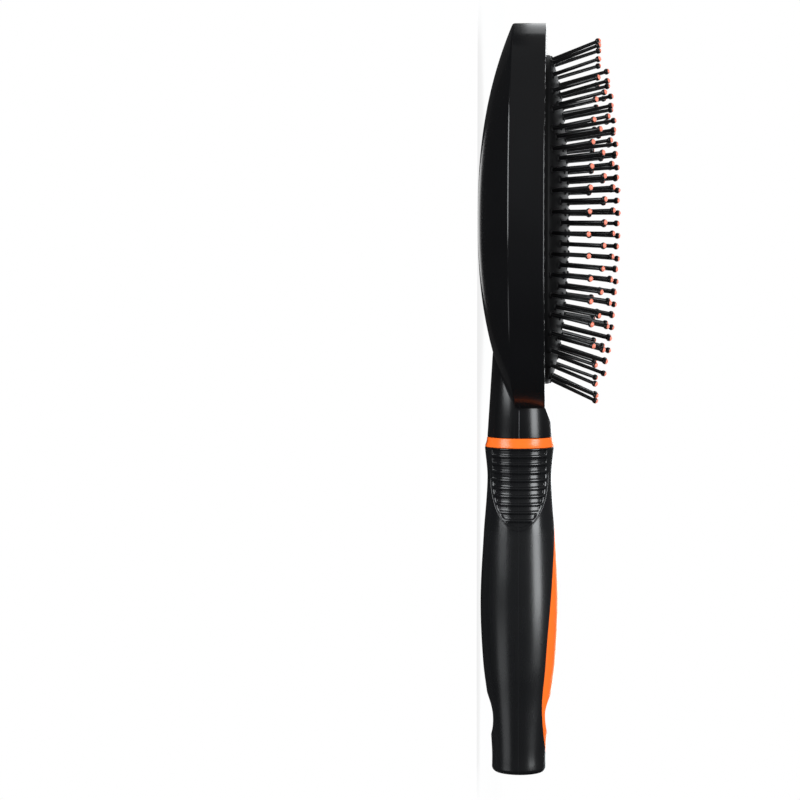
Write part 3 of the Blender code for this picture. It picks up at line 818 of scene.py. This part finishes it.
@dataclass
class Cushion:
    """The crowned rubber sheet with its bead, collars, pins and dipped tips."""

    head: HeadShell
    half_length: float = 51.9 * MM
    half_width: float = 26.8 * MM
    edge_rise: float = 0.7 * MM
    crown: float = 6.4 * MM
    fullness: float = 0.6
    thickness: float = 2.0 * MM
    bead_corner: float = 0.5 * MM
    bead_rows: int = 12
    pin_height: float = 16.5 * MM
    shaft_radius: float = 0.55 * MM
    foot_radius: float = 0.64 * MM
    ball_radius: float = 0.97 * MM
    root_depth: float = 1.2 * MM
    collar_radius: float = 1.25 * MM
    collar_height: float = 0.5 * MM
    collar_root_share: float = 1.2
    collar_shares: tuple[Span, ...] = ((1.25, -1.0), (1.0, 0.35), (0.82, 0.85))
    coat_angle: float = 64.0
    coat_lip_angle: float = 3.0
    coat_thickness: float = 0.03 * MM
    edge_inset: float = 1.2 * MM
    edge_count: int = 38
    row_pitch: float = 6.6 * MM
    column_pitch: float = 6.45 * MM
    row_shift: float = 1.0 * MM
    column_counts: tuple[int, ...] = (14, 13, 12, 9)
    lean_head_end: float = 21.0
    lean_neck_end: float = 25.0
    lean_side: float = 44.0
    lean_linear_share: float = 0.73
    side_linear_share: float = 0.8
    stray: float = math.radians(1.3)
    stray_waves: tuple[Span, Span] = ((1910.0, 3170.0), (2730.0, -1490.0))
    pin_steps: int = 12
    ball_steps: int = 7
    coat_steps: int = 4
    edge_steps: int = 3600
    pad_rows: int = 40
    strips: int = 15
    middle_strip_share: float = 0.75
    squash_anchor: float = 18.7 * MM
    press_travel: float = 2.5 * MM

    def rise(self, share: float) -> float:
        """Give the sheet's height over the rim at a share of the way to its edge."""
        return self.edge_rise + self.crown * max(0.0, 1.0 - share ** 2) ** self.fullness

    def sheet_point(self, row: int, angle: float) -> Vector:
        """Give a point of the rubber sheet.

        Args:
            row: Row from the crown, over the edge in the lip, to the underside's middle.
            angle: Angle round the oval.

        Returns:
            The point.
        """
        depth = self.head.depth
        under = row > self.pad_rows
        step = 2 * self.pad_rows + 1 - row if under else row
        share = math.sin(math.pi / 2 * step / self.pad_rows)
        inset = self.thickness if under else 0.0
        semi_x = self.head.lip_long - SEAM - inset
        semi_y = self.head.lip_wide - SEAM - inset
        height = depth + self.rise(share) - inset
        if step == self.pad_rows:
            height = depth - self.head.lip_thickness - SEAM
        return on_oval(self.head.lip_centre_x, semi_x * share, semi_y * share, angle, height)

    def bead_point(self, row: int, angle: float) -> Vector:
        """Give a point of the bead in its groove.

        Args:
            row: Row round the bead's section.
            angle: Angle round the oval.

        Returns:
            The point.
        """
        head = self.head
        top = head.depth - head.lip_thickness - SEAM
        low = head.depth - head.lip_thickness - head.groove_height + SEAM
        outer = head.groove_depth - SEAM
        inner = -self.thickness
        corner = self.bead_corner
        section = [
            (inner, top),
            *arc((outer - corner, top - corner), corner, 90.0, 0.0),
            *arc((outer - corner, low + corner), corner, 0.0, -90.0),
            (inner, low),
        ]
        grow, height = section[row]
        semi_x, semi_y = head.lip_long + grow, head.lip_wide + grow
        return on_oval(head.lip_centre_x, semi_x, semi_y, angle, height)

    def edge_places(self) -> Profile:
        """Space the outermost pins evenly round the sheet.

        Returns:
            Their places from the sheet's middle.
        """
        semi = Vector((self.half_length - self.edge_inset, self.half_width - self.edge_inset))
        angles = [2 * math.pi * step / self.edge_steps for step in range(self.edge_steps + 1)]
        points = [Vector((semi.x * math.cos(turn), semi.y * math.sin(turn))) for turn in angles]
        lengths = [0.0]
        for start, end in zip(points, points[1:]):
            lengths.append(lengths[-1] + (end - start).length)
        wanted = [lengths[-1] * index / self.edge_count for index in range(self.edge_count)]
        return [tuple(points[bisect.bisect_left(lengths, length)]) for length in wanted]

    def inner_places(self) -> Profile:
        """Space the inner pins in staggered columns.

        Returns:
            Their places from the sheet's middle.
        """
        places = []
        for column, count in enumerate(self.column_counts):
            for side in (0,) if column == 0 else (-1, 1):
                for index in range(count):
                    x = (index - (count - 1) / 2) * self.row_pitch
                    places.append((x, side * column * self.column_pitch))
        return places

    def places(self) -> Profile:
        """List the places of all pins from the sheet's middle."""
        return self.edge_places() + self.inner_places()

    def strip_of(self, x: float) -> int:
        """Give the number, from 1, of the CAD strip that a pin stands in.

        Args:
            x: The pin's place along the sheet, from its middle.

        Returns:
            The strip's number.
        """
        middle = (self.strips + 1) // 2
        half = self.row_pitch * self.middle_strip_share
        if abs(x) < half:
            return middle
        steps = min(int((abs(x) - half) / self.row_pitch) + 1, middle - 1)
        return middle + steps if x > 0 else middle - steps

    def pin_frame(self, place: Span) -> Matrix:
        """Stand a pin on the sheet with its lean.

        Args:
            place: The pin's place from the sheet's middle.

        Returns:
            The matrix that moves an upright pin there.
        """
        x, y = place
        x -= self.row_shift * (1 - (x / self.half_length) ** 2)
        end_share = x / (self.half_length - self.edge_inset)
        side_share = y / (self.half_width - self.edge_inset)
        end_lean = math.radians(self.lean_head_end if x > 0 else self.lean_neck_end)
        linear, side_linear = self.lean_linear_share, self.side_linear_share
        along = end_lean * (linear * end_share + (1 - linear) * end_share ** 3)
        across = side_linear * side_share + (1 - side_linear) * side_share ** 3
        across *= math.radians(self.lean_side)
        strays = [self.stray * math.sin(x * wave + y * cross) for wave, cross in self.stray_waves]
        direction = Vector((math.tan(along + strays[0]), math.tan(across + strays[1]), 1.0))
        direction.normalize()
        share = math.hypot(x / self.half_length, y / self.half_width)
        foot = Vector((self.head.lip_centre_x + x, y, self.head.depth + self.rise(share)))
        turn = Vector((0.0, 0.0, 1.0)).rotation_difference(direction)
        return Matrix.Translation(foot) @ turn.to_matrix().to_4x4()

    def small(self, name: str, profile: Profile) -> bpy.types.Mesh:
        """Spin a small upright profile of radii and heights."""
        return meshed(name, turned(profile, self.pin_steps, upright=True))

    def pin_mesh(self) -> bpy.types.Mesh:
        """Turn one pin with its ball.

        Returns:
            The mesh, upright at the origin.
        """
        ball_z = self.pin_height - self.ball_radius
        start = -math.degrees(math.acos(self.shaft_radius / self.ball_radius))
        profile = [(0.0, -self.root_depth), (self.foot_radius, -self.root_depth)]
        profile.append((self.foot_radius, self.collar_height))
        profile += arc((0.0, ball_z), self.ball_radius, start, 90.0, self.ball_steps)
        return self.small("pin", profile)

    def coat_mesh(self) -> bpy.types.Mesh:
        """Turn the dipped coat of one tip.

        Returns:
            The mesh, upright at the origin.
        """
        ball_z = self.pin_height - self.ball_radius
        outer = self.ball_radius + self.coat_thickness
        inner = self.ball_radius - self.coat_thickness
        start = 90.0 - self.coat_angle
        profile = arc((0.0, ball_z), inner, 90.0, start, self.coat_steps - 1)
        start += self.coat_lip_angle
        profile += arc((0.0, ball_z), outer, start, 90.0, self.coat_steps)
        return self.small("coat", profile)

    def collar_mesh(self) -> bpy.types.Mesh:
        """Turn the raised rubber collar round one pin's foot.

        Returns:
            The mesh, upright at the origin.
        """
        wide, high = self.collar_radius, self.collar_height
        root = -self.root_depth
        profile = [(0.0, root), (wide * self.collar_root_share, root)]
        profile += [(wide * out, high * up) for out, up in self.collar_shares]
        profile += [(self.foot_radius, high), (0.0, high)]
        return self.small("collar", profile)

    def gathered(self, part: bpy.types.Mesh, places: Profile) -> Form:
        """Stand a copy of a small part at each place.

        Args:
            part: The part, upright at the origin.
            places: Where the copies stand.

        Returns:
            One form that holds them all.
        """
        form = bmesh.new()
        for place in places:
            single = part.copy()
            single.transform(self.pin_frame(place))
            form.from_mesh(single)
            bpy.data.meshes.remove(single)
        return form

    def build_sheet(self) -> Piece:
        """Loft the sheet and set a collar round every pin.

        Returns:
            The cushion.
        """
        sheet = meshed("sheet", lofted(2 * self.pad_rows + 2, self.head.steps, self.sheet_point))
        form = self.gathered(self.collar_mesh(), self.places())
        form.from_mesh(sheet)
        return solid("rubber_cushion", form)

    def dress(self) -> None:
        """Build the sheet, the bead and every strip's pins, and tie them to the model."""
        rubber = Dresser(Slot.RUBBER, RubberSheet().material(), crease=40.0)
        nylon = Dresser(Slot.PIN, PIN_NYLON.material(), crease=40.0, flat_corners=99)
        coat = Dresser(Slot.TIP, DIPPED_COAT.material(), crease=60.0, flat_corners=99)
        names = [f"cushion_strip_{index:02d}" for index in range(1, self.strips + 1)]
        sheet = self.build_sheet()
        rubber.dress(sheet, "brush_body", *names)
        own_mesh(sheet)
        bead = lofted(self.bead_rows, self.head.steps, self.bead_point, closed=True)
        rubber.dress(solid("cushion_edge_bead", bead), "brush_body", "cushion_bead")
        pin, tip = self.pin_mesh(), self.coat_mesh()
        places = self.places()
        for index, node in enumerate(names, start=1):
            row = [place for place in places if self.strip_of(place[0]) == index]
            for dresser, kind, part in ((nylon, "pins", pin), (coat, "pin_tips", tip)):
                piece = solid(f"{kind}_{index:02d}", self.gathered(part, row))
                dresser.dress(piece, f"strip_{index:02d}", node)


@dataclass
class NeckRing:
    """The tapered orange collar between neck and grip."""

    low_x: float = -15.1 * MM
    high_x: float = -11.4 * MM
    neck_radius: float = 10.48 * MM
    grip_radius: float = 11.1 * MM
    bore: float = 6.3 * MM
    edge_round: float = 0.3 * MM
    hollow: float = 0.12 * MM
    hollow_steps: int = 8
    steps: int = 192

    def build(self) -> Piece:
        """Turn the collar.

        Returns:
            The collar.
        """
        low, high = self.low_x + FIT_GAP, self.high_x - FIT_GAP
        rounding = self.edge_round
        profile = [(high, self.bore)]
        profile += arc((high - rounding, self.neck_radius - rounding), rounding, 0.0, 90.0)
        span = high - low - 2 * rounding
        for step in range(1, self.hollow_steps):
            share = step / self.hollow_steps
            radius = self.neck_radius + (self.grip_radius - self.neck_radius) * share
            radius -= self.hollow * math.sin(math.pi * share)
            profile.append((high - rounding - span * share, radius))
        profile += arc((low + rounding, self.grip_radius - rounding), rounding, 90.0, 180.0)
        profile.append((low, self.bore))
        return solid("orange_collar", turned(profile, self.steps, closed=True))

    def dress(self) -> None:
        """Build the collar and tie it to the model."""
        orange = Dresser(Slot.ORANGE, BRIGHT_ORANGE.material())
        orange.dress(self.build(), "brush_body", "neck_ring")


@dataclass
class Handle:
    """The overmoulded grip and the orange core whose leaf shows in its front."""

    mouth_x: float = -15.1 * MM
    butt_x: float = -119.5 * MM
    stations: tuple[Span, ...] = (
        (0.0, 11.15 * MM),
        (9.81 * MM, 10.32 * MM),
        (28.08 * MM, 11.52 * MM),
        (49.49 * MM, 12.48 * MM),
        (69.01 * MM, 11.6 * MM),
        (83.21 * MM, 9.8 * MM),
        (97.51 * MM, 8.7 * MM),
        (104.4 * MM, 8.7 * MM),
    )
    butt_round: float = 1.7 * MM
    butt_steps: int = 9
    mouth_round: float = 0.3 * MM
    bore_radius: float = 8.2 * MM
    rib_pitch: float = 2.53 * MM
    rib_count: int = 10
    rib_depth: float = 0.5 * MM
    rib_floor: float = 0.55 * MM
    rib_mouth: float = 1.08 * MM
    first_rib: float = 1.05 * MM
    rib_margin: float = 0.4 * MM
    ramp_width: float = 0.32 * MM
    ramp_drop: float = 4.0
    ramp_facing: float = 26.0
    least_ramp: float = 12.0
    panel_half_width: float = 9.3 * MM
    panel_foot_half_width: float = 9.05 * MM
    panel_straight: float = 9.0 * MM
    panel_length: float = 25.6 * MM
    border_radius: float = 0.3 * MM
    border_sink: float = 0.02 * MM
    border_from: float = 7.5 * MM
    border_arm_share: float = 0.06
    border_reach_share: float = 0.999
    border_rows: int = 121
    border_steps: int = 10
    leaf_tip_x: float = -35.67 * MM
    leaf_widest_x: float = -76.49 * MM
    leaf_end_x: float = -113.6 * MM
    leaf_half_width: float = 8.0 * MM
    leaf_floor: float = 5.0 * MM
    leaf_tip_fullness: float = 0.95
    leaf_tail_fullness: float = 0.55
    hole_x: float = -100.1 * MM
    hole_half_width: float = 4.4 * MM
    hole_headward: float = 6.0 * MM
    hole_buttward: float = 7.1 * MM
    hole_round: float = 0.7 * MM
    hole_flare: Span = (-115.0, -180.0)
    hole_flare_steps: int = 5
    core_end_x: float = -86.1 * MM
    socket_root: float = 6.3 * MM
    socket_tip: float = 5.7 * MM
    socket_end_x: float = -55.7 * MM
    steps: int = 384
    plain_rows: int = 60
    flank_rows: int = 5
    least_row: float = 0.02 * MM

    @property
    def length(self) -> float:
        """Length from mouth to butt."""
        return self.mouth_x - self.butt_x

    def radius(self, reach: float) -> float:
        """Read the grip's radius from a smooth line through its stations.

        Args:
            reach: Distance from the mouth.

        Returns:
            The radius.
        """
        last = len(self.stations) - 1
        index = bisect.bisect_left(self.stations, (reach,), 1, last) - 1
        start, start_radius = self.stations[index]
        end, end_radius = self.stations[index + 1]
        span = end - start
        share = (reach - start) / span
        slopes = []
        for station in (index, index + 1):
            before = self.stations[max(station - 1, 0)]
            after = self.stations[min(station + 1, last)]
            slopes.append((after[1] - before[1]) / (after[0] - before[0]))
        rise = (end_radius - start_radius) * (3 * share ** 2 - 2 * share ** 3)
        push = slopes[0] * (share ** 3 - 2 * share ** 2 + share)
        push += slopes[1] * (share ** 3 - share ** 2)
        return start_radius + rise + push * span

    def rows(self, ribbed: bool) -> list[float]:
        """Space the rows of the handle's skin, which follow the grooves where it is ribbed.

        Args:
            ribbed: Whether the skin is the ribbed one.

        Returns:
            Their distances from the mouth.
        """
        first, last = self.mouth_round, self.length - self.butt_round
        step = (last - first) / self.plain_rows
        reaches = [first + step * row for row in range(self.plain_rows)]
        if ribbed:
            flank = (self.rib_mouth - self.rib_floor) / self.flank_rows
            offsets = [0.0, self.rib_floor / 2, self.rib_pitch / 2]
            offsets += [self.rib_floor + flank * row for row in range(self.flank_rows + 1)]
            for groove in range(self.rib_count):
                middle = self.first_rib + self.rib_pitch * groove
                for offset in offsets:
                    reaches += [middle - offset, middle + offset]
        kept = [first]
        for reach in sorted(reaches):
            if reach > kept[-1] + self.least_row:
                kept.append(reach)
        return kept

    def skin(self, ribbed: bool) -> Profile:
        """Outline the handle from its mouth to its butt.

        Args:
            ribbed: Whether the rows follow the grooves.

        Returns:
            The profile.
        """
        mouth = self.mouth_x + FIT_GAP - SEAM
        rounding = self.mouth_round
        profile = [(mouth, 0.0)]
        profile += arc((mouth - rounding, self.radius(0.0) - rounding), rounding, 0.0, 90.0)
        profile += [(self.mouth_x - reach, self.radius(reach)) for reach in self.rows(ribbed)]
        corner = (self.butt_x + self.butt_round, self.stations[-1][1] - self.butt_round)
        profile += arc(corner, self.butt_round, 90.0, 180.0, self.butt_steps)
        profile.append((self.butt_x, 0.0))
        return profile

    def panel_depth(self, x: float, z: float) -> float:
        """Give how far a point lies inside the finger panel's outline, seen from the side.

        Args:
            x: Place along the brush.
            z: Height over the handle's axis.

        Returns:
            The distance, negative outside.
        """
        foot_x = self.mouth_x - self.panel_straight
        foot_length = self.panel_length - self.panel_straight
        if x >= foot_x:
            share = (x - foot_x) / self.panel_straight
            half = self.panel_foot_half_width
            half += (self.panel_half_width - self.panel_foot_half_width) * share
            return half - abs(z)
        along, across = (x - foot_x) / foot_length, z / self.panel_foot_half_width
        reach = math.hypot(along, across)
        slope = math.hypot(along / foot_length, across / self.panel_foot_half_width) / reach
        return (1 - reach) / slope

    def border(self, side: int) -> Piece:
        """Sweep the bead that borders the foot of a finger panel.

        Args:
            side: 1 for the panel towards +Y and -1 for the other.

        Returns:
            The bead.
        """
        points = []
        foot_x = self.mouth_x - self.panel_straight
        foot_length = self.panel_length - self.panel_straight
        arm = self.panel_straight - self.border_from
        bend = 1 - self.border_arm_share
        last = self.border_rows - 1
        for row in range(self.border_rows):
            share = 2 * row / last - 1
            turn = math.pi / 2 * min(1.0, abs(share) / bend)
            x = foot_x - foot_length * math.cos(turn)
            x += arm * max(0.0, abs(share) - bend) / self.border_arm_share
            height = math.copysign(self.panel_foot_half_width * math.sin(turn), share)
            radius = self.radius(self.mouth_x - x) - self.border_sink
            reach = self.border_reach_share * radius
            height = max(-reach, min(reach, height))
            out = Vector((0.0, side * math.sqrt(radius ** 2 - height ** 2), height))
            points.append(Vector((x, 0.0, AXIS_HEIGHT)) + out)

        def place(row: int, angle: float) -> Vector:
            """Give a point of the bead.

            Args:
                row: Row along the bead.
                angle: Angle round it.

            Returns:
                The point.
            """
            along = points[min(row + 1, last)] - points[max(row - 1, 0)]
            out = Vector((0.0, points[row].y, points[row].z - AXIS_HEIGHT)).normalized()
            across = along.cross(out).normalized()
            turned_out = math.cos(angle) * out + math.sin(angle) * across
            return points[row] + self.border_radius * turned_out

        return solid("panel_border", lofted(self.border_rows, self.border_steps, place))

    def ribbed(self, point: Vector) -> Vector:
        """Sink the grooves of the finger panels.

        Args:
            point: A point of the smooth skin.

        Returns:
            Its place on the ribbed skin.
        """
        out = Vector((0.0, point.y, point.z - AXIS_HEIGHT))
        if out.length < self.bore_radius:
            return point
        inside = self.panel_depth(point.x, out.z) - self.rib_margin
        if inside <= 0:
            return point
        facing = math.asin(abs(out.z) / out.length)
        ramp = max(facing - math.radians(self.ramp_facing), math.radians(self.least_ramp))
        fall = inside * math.tan(ramp) / math.cos(facing)
        fall = min(self.rib_depth, fall + max(0.0, inside - self.ramp_width) * self.ramp_drop)
        reach = self.mouth_x - point.x
        turn = round((reach - self.first_rib) / self.rib_pitch)
        turn = max(0, min(self.rib_count - 1, turn))
        off = abs(reach - self.first_rib - turn * self.rib_pitch)
        flank = min(1.0, max(0.0, (self.rib_mouth - off) / (self.rib_mouth - self.rib_floor)))
        return point - out.normalized() * (fall * flank ** 2 * (3 - 2 * flank))

    def leaf_outline(self, offset: float) -> Profile:
        """Outline the leaf face.

        Args:
            offset: How much it grows on all sides.

        Returns:
            Its points.
        """
        side = []
        for step in range(1, BORE_STEPS):
            share = math.cos(math.pi * step / BORE_STEPS)
            length = self.leaf_tip_x - self.leaf_widest_x
            fullness = self.leaf_tip_fullness
            if share < 0:
                length = self.leaf_widest_x - self.leaf_end_x
                fullness = self.leaf_tail_fullness
            width = self.leaf_half_width * (1 - share ** 2) ** fullness
            side.append((self.leaf_widest_x + (length + offset) * share, width + offset))
        tip = (self.leaf_tip_x + offset, 0.0)
        end = (self.leaf_end_x - offset, 0.0)
        return [tip] + side + [end] + [(x, -y) for x, y in reversed(side)]

    def leaf_block(self, name: str, offset: float) -> Piece:
        """Stand the leaf up as a block, grown on its sides and floor."""
        low = AXIS_HEIGHT + self.leaf_floor - offset
        return solid(name, prism(self.leaf_outline(offset), low, low + 3 * OVERRUN))

    def hole_point(self, row: int, angle: float) -> Vector:
        """Give a point of the hang hole's cutter, which flares at both mouths.

        Args:
            row: Row from above the front of the handle to below its back.
            angle: Angle round the egg-shaped hole.

        Returns:
            The point.
        """
        rounding = self.hole_round
        rows = arc((rounding, rounding), rounding, *self.hole_flare, self.hole_flare_steps)
        rows.insert(0, (rows[0][0], 0.0))
        front = row < len(rows)
        level = row if front else 2 * len(rows) - 1 - row
        grow, depth = rows[level]
        length = self.hole_headward if math.cos(angle) > 0 else self.hole_buttward
        x = self.hole_x + (length + grow) * math.cos(angle)
        y = (self.hole_half_width + grow) * math.sin(angle)
        half = math.sqrt(self.radius(self.mouth_x - x) ** 2 - y ** 2) - depth
        if level == 0:
            half = self.stations[0][1] + OVERRUN
        return Vector((x, y, AXIS_HEIGHT + (half if front else -half)))

    def hole_cutter(self) -> Piece:
        """Make the hang hole's cutter."""
        rows = 2 * (self.hole_flare_steps + 2)
        return solid("hang_hole", lofted(rows, BORE_STEPS, self.hole_point))

    def build_grip(self) -> Piece:
        """Turn the grip, rib it and cut its bore, leaf window and hole.

        Returns:
            The overmould.
        """
        form = turned(self.skin(ribbed=True), self.steps)
        for point in form.verts:
            if point.co.x > self.mouth_x - self.panel_length:
                point.co = self.ribbed(point.co)
        grip = solid("grip_overmould", form)
        combine(grip, [self.border(1), self.border(-1)], Cut.JOIN)
        radius = self.bore_radius + SEAM
        bore = rod("core_bore", self.mouth_x + OVERRUN, self.core_end_x - SEAM, radius)
        combine(grip, [bore, self.leaf_block("leaf_window", SEAM), self.hole_cutter()], Cut.REMOVE)
        return grip

    def build_core(self) -> Piece:
        """Shape the leaf from the handle's skin and join it to the core's rod.

        Returns:
            The core.
        """
        core = self.leaf_block("orange_core", 0.0)
        skin = solid("skin", turned(self.skin(ribbed=False), self.steps))
        combine(core, [skin], Cut.OVERLAP)
        plain = rod("rod", self.mouth_x, self.core_end_x, self.bore_radius)
        combine(core, [plain], Cut.JOIN)
        socket = [
            (self.mouth_x + OVERRUN, 0.0),
            (self.mouth_x + OVERRUN, self.socket_root),
            (self.mouth_x, self.socket_root),
            (self.socket_end_x, self.socket_tip),
            (self.socket_end_x, 0.0),
        ]
        bore = solid("socket", turned(socket, BORE_STEPS))
        combine(core, [bore, self.hole_cutter()], Cut.REMOVE)
        return core

    def dress(self) -> None:
        """Build the grip and the core and tie them to the model."""
        black = Dresser(Slot.GRIP, SATIN_BLACK.material(), crease=38.0, flat_corners=12)
        black.dress(self.build_grip(), "brush_body", "handle_grip")
        orange = Dresser(Slot.ORANGE, BRIGHT_ORANGE.material(), crease=30.0, flat_corners=12)
        orange.dress(self.build_core(), "brush_body", "handle_core")


@dataclass(frozen=True)
class Softbox:
    """A rectangular studio lamp that points at a spot of the brush."""

    name: str
    place: Triple
    target: Triple
    long_side: float
    short_side: float
    power: float

    def hang(self) -> None:
        """Add the lamp, with its long side along the brush."""
        lamp = bpy.data.lights.new(self.name, "AREA")
        lamp.shape = "RECTANGLE"
        lamp.size = self.long_side
        lamp.size_y = self.short_side
        lamp.energy = self.power
        lamp.energy, lamp.color = self.power, COOL
        back = (Vector(self.place) - Vector(self.target)).normalized()
        along = Vector((1.0, 0.0, 0.0))
        side = (along - back * along.dot(back)).normalized()
        aim(linked(self.name, lamp), self.place, side, back)


@dataclass
class Studio:
    """The pale board, the white backdrop, the lamps and the camera."""

    camera_place: Triple = (48.0 * MM, 850.0 * MM, 35.9 * MM)
    camera_target: Triple = (-0.15 * MM, 0.0, -24.9 * MM)
    lens: float = 119.9
    sensor_width: float = 36.0
    clip_reach: Span = (0.01, 20.0)
    board_length: float = 1.2
    board_depth: float = 0.8
    board_front: float = 5.0 * MM
    board_colours: tuple[Triple, Triple] = ((0.80, 0.80, 0.80), (0.84, 0.84, 0.84))
    speckle_cells: float = 300.0
    shaded_reach: Span = (0.16, 0.30)
    shaded_share: float = 0.16
    reflected_floor: float = 0.02
    reflected_glow: float = 0.02
    calmed_share: float = 0.97
    backdrop_angle: float = 20.0
    backdrop_blur: float = 0.02
    ambient: float = 0.45
    reflected_ambient: float = 0.2
    headward_reach: Span = (-0.7, 0.8)
    sunken_reach: Span = (-0.15, -0.5)
    sunken_share: float = 0.1
    lamps: tuple[Softbox, ...] = (
        Softbox("key_softbox", (0.085, 0.42, 0.64), (0.0, 0.0, 0.015), 0.62, 0.34, 6.1),
        Softbox("low_softbox", (0.24, 0.38, -0.50), (0.05, 0.0, 0.015), 0.5, 0.34, 4.0),
        Softbox("tail_softbox", (-0.3, 0.38, -0.50), (-0.08, 0.0, 0.015), 0.22, 0.36, 0.36),
        Softbox("end_softbox", (0.49, -0.40, 0.05), (0.12, 0.0, 0.012), 0.47, 0.3, 0.6),
        Softbox("rear_softbox", (-0.05, -0.62, 0.22), (0.0, 0.0, 0.015), 0.7, 0.25, 1.7),
    )

    def light_world(self) -> None:
        """Make the world white behind the brush and dim elsewhere."""
        world = bpy.data.worlds.new("studio")
        bpy.context.scene.world = world
        paint = Paint(world)
        rays = paint.node("ShaderNodeLightPath", {}, {})
        seen, glossy = rays.other("Is Camera Ray"), rays.other("Is Glossy Ray")
        x, y, z = paint.axes(paint.node("ShaderNodeTexCoord", {}, {}, "Generated"))
        edge = math.cos(math.radians(self.backdrop_angle))
        cone = (y * -1.0).fade(edge + self.backdrop_blur, edge - self.backdrop_blur)
        backed = seen + (glossy + rays.other("Is Transmission Ray")) * cone
        share = paint.maths("MINIMUM", backed, 1.0)
        raised = self.sunken_share + (1.0 - self.sunken_share) * z.fade(*self.sunken_reach)
        headward = 1.0 - x.fade(*self.headward_reach)
        reflected = self.reflected_ambient * headward * raised
        dim = self.ambient - (self.ambient - reflected) * glossy
        strength = dim + (1.0 - dim) * share
        values = {"Color": WHITE, "Strength": strength}
        paint.show(paint.node("ShaderNodeBackground", {}, values))

    def floor_material(self) -> bpy.types.Material:
        """Paint the pale floor, which is white where no shadow falls.

        Returns:
            The material.
        """
        paint = Paint(bpy.data.materials.new("pale_floor"))
        rays = paint.node("ShaderNodeLightPath", {}, {})
        seen, glossy = rays.other("Is Camera Ray"), rays.other("Is Glossy Ray")
        x, y, _ = paint.axes(paint.place())
        near = abs(x).fade(*self.shaded_reach) * abs(y).fade(*self.shaded_reach)
        pale = paint.blend(paint.noise(self.speckle_cells, 2.0), *self.board_colours)
        matte = paint.node("ShaderNodeBsdfDiffuse", {}, {"Color": pale})
        share = seen * (1.0 - self.shaded_share * near) + glossy * self.reflected_glow
        lit = paint.glowing(share, matte, 1.0)
        return paint.show(paint.glowing(glossy * self.calmed_share, lit, self.reflected_floor))

    def lay_floor(self) -> None:
        """Lay the floor, a board whose front edge runs close to the line that the brush lies on."""
        form = bmesh.new()
        bmesh.ops.create_grid(form, x_segments=1, y_segments=1, size=0.5)
        bmesh.ops.scale(form, vec=(self.board_length, self.board_depth, 1.0), verts=form.verts)
        shift = (0.0, self.board_front - self.board_depth / 2, 0.0)
        bmesh.ops.translate(form, vec=shift, verts=form.verts)
        floor = solid("studio_floor", form)
        floor.data.materials.append(self.floor_material())

    def set_camera(self) -> None:
        """Stand the camera level beside the brush, with +X up in the picture."""
        lens = bpy.data.cameras.new("camera")
        lens.lens = self.lens
        lens.sensor_width = self.sensor_width
        lens.clip_start, lens.clip_end = self.clip_reach
        camera = linked("camera", lens)
        back = (Vector(self.camera_place) - Vector(self.camera_target)).normalized()
        aim(camera, self.camera_place, Vector((1.0, 0.0, 0.0)).cross(back).normalized(), back)
        bpy.context.scene.camera = camera

    def build(self) -> None:
        """Set up the whole studio."""
        bpy.context.scene.view_settings.view_transform = "Standard"
        self.light_world()
        self.lay_floor()
        for lamp in self.lamps:
            lamp.hang()
        self.set_camera()


def main() -> None:
    """Build every sub-assembly of the brush and the studio round it."""
    logging.basicConfig(level=logging.INFO, format="%(message)s")
    head = HeadShell()
    for assembly in (head, Cushion(head), NeckRing(), Handle()):
        assembly.dress()
    Studio().build()


if __name__ == "__main__":
    main()
